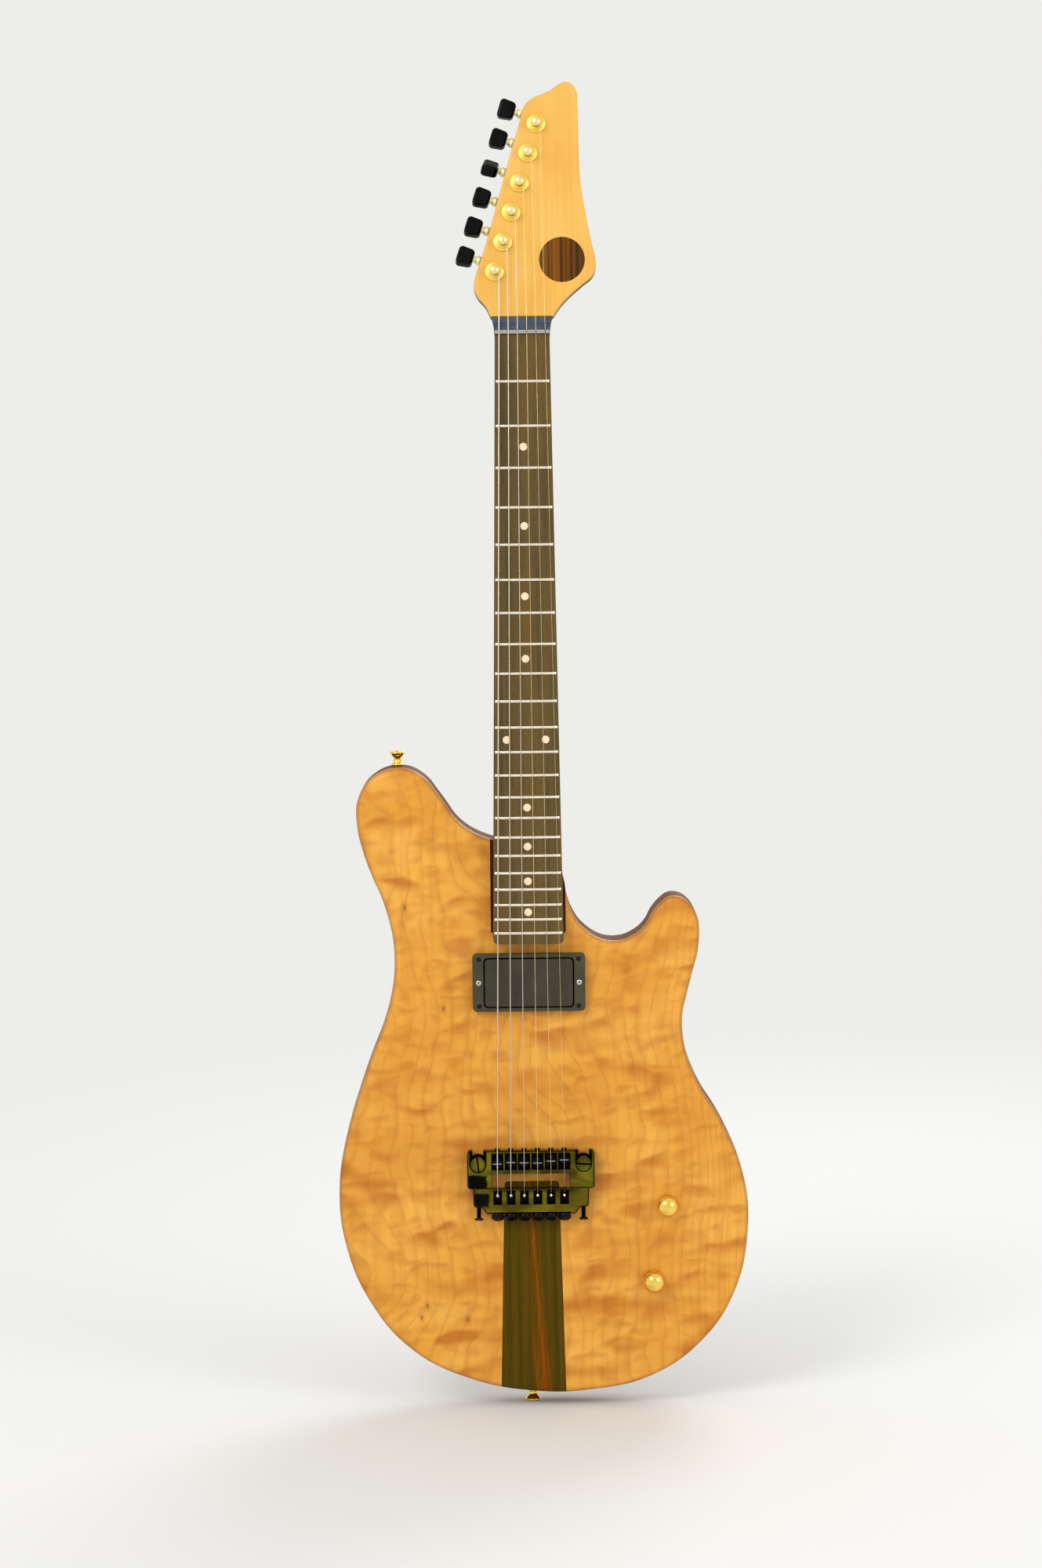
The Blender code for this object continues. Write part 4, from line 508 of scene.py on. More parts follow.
def moulded_black(name, colour, roughness, grain_mm, depth, shine=0.25):
    """Moulded black ABS with a fine spark-eroded grain, lighter where hands have rubbed it."""
    made, tree, shader = new_material(
        name, {"IOR": 1.53, "Specular IOR Level": shine, "Roughness": roughness})
    place = add(tree, "TexCoord").outputs["Object"]
    rub = add(tree, "TexNoise", {
        "Vector": add(tree, "Mapping", {"Vector": place, "Scale": cells(18, 18, 18)}),
        "Scale": 1.0, "Detail": 2.0})
    lighter = tuple(min(1.0, c * 1.35 + 0.002) for c in colour_of(colour)[:3])
    grain = add(tree, "TexNoise", {
        "Vector": add(
            tree, "Mapping", {"Vector": place, "Scale": cells(grain_mm, grain_mm, grain_mm)}),
        "Scale": 1.0, "Detail": 2.0})
    feed(tree, shader, {
        "Base Color": add(
            tree, "ValToRGB", {"Fac": rub}, stops=[(0.35, colour), (0.7, lighter)]),
        "Roughness": add(tree, "MapRange", {
            "Value": rub, "To Min": roughness * 0.85, "To Max": roughness * 1.15}),
        "Normal": add(tree, "Bump", {"Height": grain, "Distance": depth * MM})})
    return made


def wound_string(look):
    """Nickel-wound string: a bright wire wrapped round a core.

    The real wrap is 0.3 mm from turn to turn, drawn 0.6 mm so that it shows.
    """
    made, tree, shader = new_material("nickel_wound_string", {"Metallic": 1.0, "Roughness": 0.3})
    place = add(tree, "TexCoord").outputs["Object"]
    wrap = add(
        tree, "TexWave", {
            "Vector": add(tree, "Mapping", {"Vector": place, "Scale": cells(1, 1, 0.6)}),
            "Scale": 0.314, "Distortion": 0.0},
        bands_direction="Z", wave_profile="SIN").outputs["Fac"]
    feed(tree, shader, {
        "Base Color": add(
            tree, "ValToRGB", {"Fac": wrap}, stops=[(0.0, "#A89C88"), (0.55, look.strings)]),
        "Normal": add(tree, "Bump", {"Height": wrap, "Distance": 0.05 * MM})})
    return made


def acrylic_dot(look):
    """Cream acrylic dot, faintly clouded like pearl and polished with the board."""
    made, tree, shader = new_material("cream_acrylic", {"IOR": 1.49, "Roughness": 0.25})
    place = add(tree, "TexCoord").outputs["Object"]
    cloud = add(tree, "TexNoise", {
        "Vector": add(tree, "Mapping", {"Vector": place, "Scale": cells(2.2, 2.2, 2.2)}),
        "Scale": 1.0, "Detail": 2.0, "Distortion": 1.0})
    feed(tree, shader, {"Base Color": add(
        tree, "ValToRGB", {"Fac": cloud}, stops=[(0.35, "#F4DCB4"), (0.65, look.dots)])})
    return made


def moulded_graphite(look):
    """Moulded graphite nut, sanded: a mid grey with a faint speckle."""
    made, tree, shader = new_material("sanded_graphite", {"IOR": 1.5, "Roughness": 0.42})
    place = add(tree, "TexCoord").outputs["Object"]
    speck = add(tree, "TexNoise", {
        "Vector": add(tree, "Mapping", {"Vector": place, "Scale": cells(0.6, 0.6, 0.6)}),
        "Scale": 1.0, "Detail": 3.0})
    feed(tree, shader, {
        "Base Color": add(
            tree, "ValToRGB", {"Fac": speck}, stops=[(0.3, "#8E8D86"), (0.6, look.nut)]),
        "Normal": add(tree, "Bump", {"Height": speck, "Distance": 0.01 * MM})})
    return made


FINISHES = {}


def make_finishes(look):
    """Make every material once, each with the record's slot that it belongs to."""
    FINISHES.update({
        "top": (quilted_maple(look), "quilted_maple"),
        "overlay": (plain_maple(look), "headstock_maple"),
        "core": (mahogany("oiled_mahogany", look.mahogany, "#5E3414", 0.55), "mahogany"),
        "neck": (mahogany("dark_oiled_mahogany", "#5C2C12", "#3A1908", 0.36), "mahogany"),
        "strip": (rosewood_strip(look), "dark_rosewood"),
        "board": (rosewood_board(look), "fingerboard_rosewood"),
        "inlay": (zebra_inlay(look), "dark_rosewood"),
        "ramp": (ramp_ebony(look), "dark_rosewood"),
        "nut": (moulded_graphite(look), "graphite_nut"),
        "dot": (acrylic_dot(look), None),
        "fret": (plated("nickel_silver", "#FFF6E6", "#EADFCC", 0.3), None),
        "gold": (plated("polished_gold_plate", look.gold, "#F4CE5C", 0.13), "gold_plate"),
        "pale_gold": (plated("brushed_pale_gold_plate", "#FFF0B8", "#F8E092", 0.22), "gold_plate"),
        "washer": (plated("satin_gold_plate", "#FFE274", "#F6D25A", 0.34), "gold_plate"),
        "collar": (plated("satin_pale_gold_plate", "#FFF4CC", "#FBE8A8", 0.5), "gold_plate"),
        "bridge": (black_chrome(look), "black_chrome"),
        "dark_screw": (plated("black_oxide_steel", "#1A181C", "#0C0B0D", 0.25), "black_chrome"),
        # Painted highlight on the saddles' crests
        "crest": (plated("saddle_edge_painted_highlight", "#98A0B4", "#6C7078", 0.18), None),
        "cover": (moulded_black(
            "moulded_abs_cover", look.pickup, 0.42, 0.5, 0.02), "black_plastic"),
        "ring": (moulded_black("moulded_abs_ring", "#3E3A28", 0.46, 0.5, 0.02), "black_plastic"),
        "plate": (moulded_black("rolled_abs_sheet", "#242320", 0.36, 0.8, 0.01), "black_plastic"),
        "gloss": (moulded_black(
            "polished_black_abs", "#020203", 0.10, 6.0, 0.004, 0.10), "black_gloss"),
        "steel": (plated("turned_steel", "#C8C8C4", "#9A9A96", 0.3), "steel"),
        "nickel": (plated("nickel_plated_steel", "#F4EEDC", "#D6CFBC", 0.2), "steel"),
        "wound": (wound_string(look), "string_steel"),
        "plain": (plated("drawn_plain_steel", look.plain_strings, "#E8C888", 0.18),
                  "string_steel"),
        "battery": (moulded_black(
            "printed_steel_sleeve", "#3C3C3E", 0.3, 4.0, 0.002), "battery_case"),
    })


# --- shapes --------------------------------------------------------------------------


def ring_at(node, depth, place=Matrix()):
    """The longest loop of a CAD node's edges at a depth, as (x, z) points in order."""
    mesh = frame["nodes"][node].data
    inverse = place.inverted()
    points = [inverse @ vertex.co for vertex in mesh.vertices]
    level = [abs(point.y - depth) < 0.00002 for point in points]

    def key(index):
        return round(points[index].x * 50000), round(points[index].z * 50000)

    flat_sides, places = {}, {}
    for face in mesh.polygons:
        flat = all(level[index] for index in face.vertices)
        for first, second in face.edge_keys:
            if level[first] and level[second] and key(first) != key(second):
                pair = frozenset((key(first), key(second)))
                flat_sides[pair] = flat_sides.get(pair, 0) + flat
                places[key(first)] = (points[first].x, points[first].z)
                places[key(second)] = (points[second].x, points[second].z)
    nearby = {}
    for pair, sides in flat_sides.items():
        if sides < 2:
            first, second = pair
            nearby.setdefault(first, []).append(second)
            nearby.setdefault(second, []).append(first)
    loops = []
    while nearby:
        loop = [next(iter(nearby))]
        while True:
            onward = [other for other in nearby.pop(loop[-1], []) if other in nearby]
            if not onward:
                break
            loop.append(onward[0])
        loops.append([places[point] for point in loop])

    def length(loop):
        return sum(math.dist(a, b) for a, b in zip(loop, loop[1:] + loop[:1]))

    loop = max(loops, key=length)
    area = sum(a[0] * b[1] - b[0] * a[1] for a, b in zip(loop, loop[1:] + loop[:1]))
    return loop if area > 0 else loop[::-1]


def smoothed(loop, steps=4, corner=45.0):
    """A smooth closed curve through points; turns sharper than a corner stay sharp."""
    points = [Vector(point) for point in loop]
    count = len(points)

    def is_corner(index):
        before = points[index] - points[index - 1]
        after = points[(index + 1) % count] - points[index]
        return before.angle(after) > math.radians(corner)

    sharp = [is_corner(index) for index in range(count)]
    curve = []
    for index in range(count):
        start, end = points[index], points[(index + 1) % count]
        step = end - start
        before = points[index - 1] if not sharp[index] else start - step
        after = points[(index + 2) % count] if not sharp[(index + 1) % count] else end + step
        gaps = [max((b - a).length, 1e-6) ** 0.5 for a, b in (
            (before, start), (start, end), (end, after))]
        leave = ((start - before) / gaps[0] - (end - before) / (gaps[0] + gaps[1])
                 + step / gaps[1]) * gaps[1]
        arrive = (step / gaps[1] - (after - start) / (gaps[1] + gaps[2])
                  + (after - end) / gaps[2]) * gaps[1]
        for part in range(steps):
            t = part / steps
            curve.append(
                start * (2 * t ** 3 - 3 * t * t + 1) + leave * (t ** 3 - 2 * t * t + t)
                + end * (3 * t * t - 2 * t ** 3) + arrive * (t ** 3 - t * t))
    return [tuple(point) for point in curve]


def rounded(corners, radius, steps=6):
    """A polygon with rounded corners, as (x, z) points; its corners run anticlockwise."""
    points = []
    count = len(corners)
    for index in range(count):
        corner = Vector(corners[index])
        back = (Vector(corners[index - 1]) - corner).normalized()
        onward = (Vector(corners[(index + 1) % count]) - corner).normalized()
        half = back.angle(onward) / 2
        centre = corner + (back + onward).normalized() * radius / math.sin(half)
        spoke = corner + back * radius / math.tan(half) - centre
        for step in range(steps + 1):
            turn = Matrix.Rotation((math.pi - 2 * half) * step / steps, 2)
            points.append(tuple(centre + turn @ spoke))
    return points


def rectangle(x, z, half_x, half_z, corner, steps=6):
    """A rounded rectangle as (x, z) points."""
    return rounded([
        (x + half_x, z - half_z), (x + half_x, z + half_z),
        (x - half_x, z + half_z), (x - half_x, z - half_z)], corner, steps)


def slab(loop, front, back, round_front=0.0, round_back=0.0, steps=6, place=Matrix()):
    """A slab between two depths, with its rims rounded; a flat margin keeps the faces flat."""
    points = [Vector(point) for point in loop]
    count = len(points)
    outward = []
    for index in range(count):
        run = (points[(index + 1) % count] - points[index]).normalized()
        run += (points[index] - points[index - 1]).normalized()
        outward.append(Vector((run.y, -run.x)).normalized())
    layers = []
    if round_front:
        layers.append((round_front + 0.3 * MM, front))
        for step in range(steps + 1):
            angle = math.pi / 2 * step / steps
            layers.append((
                round_front * (1 - math.sin(angle)), front + round_front * (1 - math.cos(angle))))
    else:
        layers.append((0.0, front))
    if round_back:
        for step in range(steps, -1, -1):
            angle = math.pi / 2 * step / steps
            layers.append((
                round_back * (1 - math.sin(angle)), back - round_back * (1 - math.cos(angle))))
        layers.append((round_back + 0.3 * MM, back))
    else:
        layers.append((0.0, back))
    bm = bmesh.new()
    rings = [[bm.verts.new(place @ Vector((
        point.x - away.x * inset, depth, point.y - away.y * inset)))
        for point, away in zip(points, outward)] for inset, depth in layers]
    for near, far in zip(rings, rings[1:]):
        for index in range(count):
            after = (index + 1) % count
            bm.faces.new((near[index], near[after], far[after], far[index]))
    bm.faces.new(rings[0])
    bm.faces.new(rings[-1])
    return bm


def lathe(bm, profile, base, axis, segments=48, teeth=0.0):
    """A turned shape: (radius, height) from one end of the axis to the other.

    A third number in a profile's point is the share of the teeth that it has there.
    """
    place = Matrix.Translation(base) @ Vector(axis).to_track_quat("Z", "Y").to_matrix().to_4x4()
    rings = []
    for radius, height, *share in profile:
        if radius == 0.0:
            rings.append([bm.verts.new(place @ Vector((0.0, 0.0, height)))])
            continue
        ring = []
        for index in range(segments):
            angle = 2 * math.pi * index / segments
            reach = radius - (teeth * share[0] if share and index % 2 else 0.0)
            ring.append(bm.verts.new(
                place @ Vector((reach * math.cos(angle), reach * math.sin(angle), height))))
        rings.append(ring)
    for low, high in zip(rings, rings[1:]):
        for index in range(segments):
            after = (index + 1) % segments
            if len(low) == 1:
                bm.faces.new((low[0], high[index], high[after]))
            elif len(high) == 1:
                bm.faces.new((low[index], low[after], high[0]))
            else:
                bm.faces.new((low[index], low[after], high[after], high[index]))
    return bm


def turned(profile, base, axis, segments=48, teeth=0.0):
    return lathe(bmesh.new(), profile, base, axis, segments, teeth)


def arc(radius, height, bend, first, last, steps=5):
    """Points of a quarter or half round in a turned profile; angles are in degrees."""
    angles = [math.radians(first + (last - first) * step / steps) for step in range(steps + 1)]
    return [(radius + bend * math.cos(a), height + bend * math.sin(a)) for a in angles]


def block(low, high, place=Matrix(), edge=0.0, steps=3):
    """A box between two corners, with all its edges rounded."""
    low, high = Vector(low), Vector(high)
    bm = bmesh.new()
    size = Matrix.Diagonal((*(high - low), 1.0))
    bmesh.ops.create_cube(bm, size=1.0, matrix=Matrix.Translation((low + high) / 2) @ size)
    if edge:
        bmesh.ops.bevel(
            bm, geom=list(bm.edges), offset=edge, segments=steps, profile=0.5, affect="EDGES")
    bm.transform(place)
    return bm


def rod(start, end, radius, segments=32):
    """A plain cylinder between two points, for cutting holes."""
    start, end = Vector(start), Vector(end)
    return turned(
        [(0.0, 0.0), (radius, 0.0), (radius, (end - start).length),
         (0.0, (end - start).length)], start, end - start, segments)


def joined(*shapes):
    """Put several closed shapes into one mesh as they are."""
    whole = bmesh.new()
    for shape in shapes:
        mesh = bpy.data.meshes.new("joined")
        bmesh.ops.recalc_face_normals(shape, faces=shape.faces)
        shape.to_mesh(mesh)
        shape.free()
        whole.from_mesh(mesh)
        bpy.data.meshes.remove(mesh)
    return whole


def worked(shape, tools, operation="DIFFERENCE"):
    """Cut shapes out of a shape, or fuse them with it, or keep what they share."""
    things = []
    for bm in (shape, *tools):
        mesh = bpy.data.meshes.new("worked")
        bmesh.ops.recalc_face_normals(bm, faces=bm.faces)
        bm.to_mesh(mesh)
        bm.free()
        things.append(bpy.data.objects.new("worked", mesh))
        bpy.context.scene.collection.objects.link(things[-1])
    for tool in things[1:]:
        step = things[0].modifiers.new("work", "BOOLEAN")
        step.operation = operation
        step.object = tool
    bpy.context.view_layer.update()
    graph = bpy.context.evaluated_depsgraph_get()
    mesh = bpy.data.meshes.new_from_object(things[0].evaluated_get(graph))
    result = bmesh.new()
    result.from_mesh(mesh)
    bpy.data.meshes.remove(mesh)
    for thing in things:
        old = thing.data
        bpy.data.objects.remove(thing)
        bpy.data.meshes.remove(old)
    return result


def piece(name, bm, finish, body="guitar", stands_for=(), smooth=32.0):
    """Make a shape a piece of the guitar: its finish, its shading and the body it rides on."""
    mesh = bpy.data.meshes.new(name)
    bmesh.ops.recalc_face_normals(bm, faces=bm.faces)
    bm.to_mesh(mesh)
    bm.free()
    made = bpy.data.objects.new(name, mesh)
    bpy.context.scene.collection.objects.link(made)
    material, slot = FINISHES[finish]
    mesh.materials.clear()
    mesh.materials.append(material)
    for face in mesh.polygons:
        face.material_index = 0
    mesh.shade_smooth()
    mesh.set_sharp_from_angle(angle=math.radians(smooth))
    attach(made, body)
    if stands_for:
        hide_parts(*stands_for)
    return made


def cad_shape(node, weld=0.005):
    """A CAD node's own shape with its faces joined up, ready for a finer edge."""
    bm = bmesh.new()
    bm.from_mesh(frame["nodes"][node].data)
    bmesh.ops.remove_doubles(bm, verts=bm.verts, dist=weld * MM)
    return bm


def flattened(bm, angle=1.0):
    """Merge faces that lie in one plane."""
    bmesh.ops.dissolve_limit(
        bm, angle_limit=math.radians(angle), verts=bm.verts, edges=bm.edges,
        use_dissolve_boundaries=False)
    return bm


def paint(node, finish):
    """Give a CAD node that keeps its own shape a better material."""
    made = frame["nodes"][node]
    material, slot = FINISHES[finish]
    made.data.materials.clear()
    made.data.materials.append(material)


def joint(name):
    """Where a CAD joint is, and the direction of its axis."""
    found = next(entry for entry in frame["joints"] if entry["name"] == name)
    return Vector(found.get("pos_m", (0.0, 0.0, 0.0))), Vector(found["axis"])


def screw_head(centre, axis, radius, rise, cross, turn=0.0):
    """A domed screw head with a cross recess in it."""
    dome = turned(
        [(0.0, -rise), (radius, -rise), *arc(radius * 0.55, 0.0, radius * 0.45, 0.0, 65.0, 4),
         (radius * 0.4, radius * 0.44), (0.0, radius * 0.46)], centre, axis, 32)
    near, far = cross / 2, radius * 0.62
    recess = [
        (near, -far), (near, -near), (far, -near), (far, near), (near, near), (near, far),
        (-near, far), (-near, near), (-far, near), (-far, -near), (-near, -near), (-near, -far)]
    place = (Matrix.Translation(centre) @ Vector(axis).to_track_quat("Y", "Z").to_matrix().to_4x4()
             @ Matrix.Rotation(math.radians(turn), 4, "Y"))
    return worked(dome, [slab(recess, -radius * 0.05, radius, place=place)])


# --- sizes and colours that can be changed -------------------------------------------


def length_property(name, text, default_mm, least_mm=0.0, most_mm=100.0):
    return FloatProperty(
        name=name, description=text, default=default_mm * MM, min=least_mm * MM,
        max=most_mm * MM, unit="LENGTH", subtype="DISTANCE", precision=5)


def colour_property(name, text, code):
    return FloatVectorProperty(
        name=name, description=text, default=to_linear(code), min=0.0, max=1.0,
        subtype="COLOR", size=3)


class GuitarSizes(PropertyGroup):
    """Sizes of the guitar's edges and small parts."""

    top_round: length_property(
        "Top edge", "Radius of the rounded front edge of the body", 4.5, 0.5, 6.0)
    back_round: length_property(
        "Back edge", "Radius of the rounded back edge of the body", 5.5, 0.5, 10.0)
    head_round: length_property(
        "Headstock edge", "Radius of the headstock's rounded edges", 1.6, 0.2, 4.0)
    board_radius: length_property(
        "Board radius", "Radius of the fingerboard's crown", 400.0, 180.0, 600.0)
    nut_width: length_property("Nut width", "Width of the fingerboard at the nut", 42.4, 38.0, 48.0)
    fret_width: length_property("Fret width", "Width of a fret's crown", 2.2, 1.0, 3.0)
    fret_height: length_property("Fret height", "Height of a fret's crown", 0.9, 0.5, 1.5)
    dot_radius: length_property("Dot radius", "Radius of the dots in the fingerboard", 3.0, 1.0, 5.0)
    bridge_edge: length_property("Bridge edge", "Rounding of the cast bridge's edges", 0.35, 0.05, 0.8)
    knurl: length_property("Knurl depth", "Depth of the knurl on knobs and screws", 0.22, 0.0, 0.5)


class GuitarColours(PropertyGroup):
    """Base colours of the guitar's materials."""

    maple: colour_property("Maple", "Body top between its pillows of figure", "#EFA93F")
    maple_figure: colour_property("Maple figure", "Shaded sides of the pillows of figure", "#C06E1C")
    maple_line: colour_property("Growth lines", "Growth lines in the top", "#93480F")
    headstock: colour_property("Headstock", "Face of the headstock", "#F1BA57")
    mahogany: colour_property("Mahogany", "Back and sides of the body", "#8A5628")
    strip: colour_property("Strip", "Dark strip in the top", "#554404")
    strip_streak: colour_property("Strip streak", "Streak in the dark strip", "#9E4A04")
    fingerboard: colour_property("Fingerboard", "Fingerboard between its streaks", "#614F2C")
    inlay: colour_property("Inlay", "Round inlay in the headstock", "#683C04")
    # Painted reflection: the ramp's blue grey stands for the bluish surroundings it reflects
    ramp: colour_property("Ramp", "Slope behind the nut", "#4A5666")
    nut: colour_property("Nut", "Nut", "#A8A8A2")
    dots: colour_property("Dots", "Dots in the fingerboard", "#FFEACB")
    gold: colour_property("Gold", "Gold plate of tuners, knobs and strap buttons", "#FFDC70")
    bridge: colour_property("Bridge", "Black chrome on the bridge's front", "#7C701E")
    pickup: colour_property("Pickup", "Cover of the pickup", "#363226")
    strings: colour_property("Wound strings", "The three wound strings", "#F2EADA")
    plain_strings: colour_property("Plain strings", "The three plain strings", "#FFEEC0")


# --- body ----------------------------------------------------------------------------


def neck_pocket(clearance):
    """The pocket that the neck's heel fills, as a cutter."""
    low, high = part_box("neck")
    return block(
        (-0.0292 - clearance, FRONT_Y - 0.004, low.z - clearance),
        (0.0292 + clearance, FRONT_Y + 0.020, NUT_Z))


def pickup_well():
    """The well for the pickup, with a wider step for its ears."""
    low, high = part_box("pickup")
    middle = (low.z + high.z) / 2
    return [
        slab(rectangle(0.0, middle, 0.0365, 0.0208, 0.003), FRONT_Y - 0.004, FRONT_Y + 0.026),
        slab(rectangle(0.0, middle, 0.0423, 0.0076, 0.003), FRONT_Y - 0.004, FRONT_Y + 0.016)]


def front_bores():
    """The bores under the bridge's studs and the two knobs."""
    lift = Vector((0, 0.004, 0))
    studs = [Vector((side * 0.0416, FRONT_Y, -0.0886)) for side in (-1, 1)]
    knobs = [joint(f"knob_{word}_turn")[0] for word in ("volume", "tone")]
    return joined(
        *[rod(spot - lift, spot + Vector((0, 0.0183, 0)), 0.0043) for spot in studs],
        *[rod(spot - lift, spot + Vector((0, 0.0140, 0)), 0.0045) for spot in knobs])


def strip_shape(inset, foot):
    """The dark strip's tapered outline, drawn in by a clearance."""
    low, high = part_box("centre_strip")
    x = (low.x + high.x) / 2
    bottom, top, turn = low.z - 0.006, high.z - inset, 0.003
    wide, narrow = 0.0259 - inset, 0.0216 - inset
    points = [(x - wide, bottom), (x + wide, bottom)]
    for side in (1, -1):
        for step in range(5):
            angle = math.radians(90.0 * step / 4 if side == 1 else 90.0 + 90.0 * step / 4)
            points.append((
                x + side * (narrow - turn) + turn * math.cos(angle),
                top - turn + turn * math.sin(angle)))
    return slab(points, FRONT_Y - 0.004, foot)


class GUITAR_OT_body(Operator):
    """Body: mahogany core, quilted top, dark strip and the back's cover plate"""

    bl_idname = "guitar.body"
    bl_label = "Body"

    def execute(self, context):
        sizes = context.scene.guitar_sizes
        edge = smoothed(ring_at("body_core", -0.0055))
        core = slab(edge, CORE_Y, 0.0, 0.0, sizes.back_round, 8)
        low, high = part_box("control_cover")
        x, z = (low.x + high.x) / 2, (low.z + high.z) / 2
        half_x, half_z = (high.x - low.x) / 2, (high.z - low.z) / 2
        jack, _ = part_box("output_jack")
        jack_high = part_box("output_jack")[1]
        centre = Vector((0.0, (jack.y + jack_high.y) / 2, (jack.z + jack_high.z) / 2))
        core = worked(core, [
            neck_pocket(0.0002), *pickup_well(),
            slab(rectangle(x, z, half_x - 0.006, half_z - 0.006, 0.010), -0.0345, 0.004),
            slab(rectangle(x, z, half_x + 0.0003, half_z + 0.0003, 0.010), -0.0023, 0.004),
            rod(centre + Vector((0.128, 0, 0)), centre + Vector((0.176, 0, 0)), 0.0061),
            rod(centre + Vector((jack_high.x - 0.0028, 0, 0)),
                centre + Vector((jack_high.x + 0.004, 0, 0)), 0.0089, 40),
            front_bores()])
        piece("body_back", core, "core", stands_for=("body_core",))

        top = slab(edge, FRONT_Y, SEAM_Y, sizes.top_round, 0.0, 8)
        top = worked(top, [
            neck_pocket(0.0002), *pickup_well(), front_bores(),
            strip_shape(0.0, FRONT_Y + 0.003)])
        piece("body_front", top, "top", stands_for=("body_top",))

        strip = slab(edge, FRONT_Y, SEAM_Y, sizes.top_round, 0.0, 8)
        strip = worked(strip, [strip_shape(0.0002, FRONT_Y + 0.0028)], "INTERSECT")
        piece("dark_strip", strip, "strip", stands_for=("centre_strip",))

        plate = slab(
            rectangle(x, z, half_x, half_z, 0.010), -0.002, 0.0, 0.0, 0.0005, 3)
        corners = [
            Vector((x + across * (half_x - 0.0052), 0.0, z + up * (half_z - 0.0052)))
            for across in (-1, 1) for up in (-1, 1)]
        plate = worked(plate, [turned(
            [(0.0, -0.0004), (0.0026, 0.0001), (0.0026, 0.004), (0.0, 0.004)],
            corner + Vector((0, -0.0007, 0)), (0, 1, 0), 32) for corner in corners])
        piece("back_cover", plate, "plate", stands_for=("control_cover",))
        piece("back_cover_screws", joined(*[screw_head(
            corner + Vector((0, -0.0011, 0)), (0, 1, 0), 0.0023, 0.0003, cross=0.0006, turn=20.0)
            for corner in corners]), "dark_screw")
        return {"FINISHED"}


# --- neck and headstock --------------------------------------------------------------


def board_half(z, nut_width):
    """Half the fingerboard's width at a height."""
    return (nut_width + 0.0272 * (NUT_Z - z)) / 2


def tuner_spot(number):
    """A tuner's place on the headstock's face, in the headstock's own axes."""
    local = HEAD.inverted() @ joint(f"tuner_post_{number}_spin")[0]
    return Vector((local.x, 0.0, local.z))


def barrel_holes(radius):
    return joined(*[rod(
        HEAD @ (tuner_spot(number) + Vector((0, -0.004, 0))),
        HEAD @ (tuner_spot(number) + Vector((0, HEAD_DEPTH + 0.004, 0))), radius)
        for number in NUMBERS])


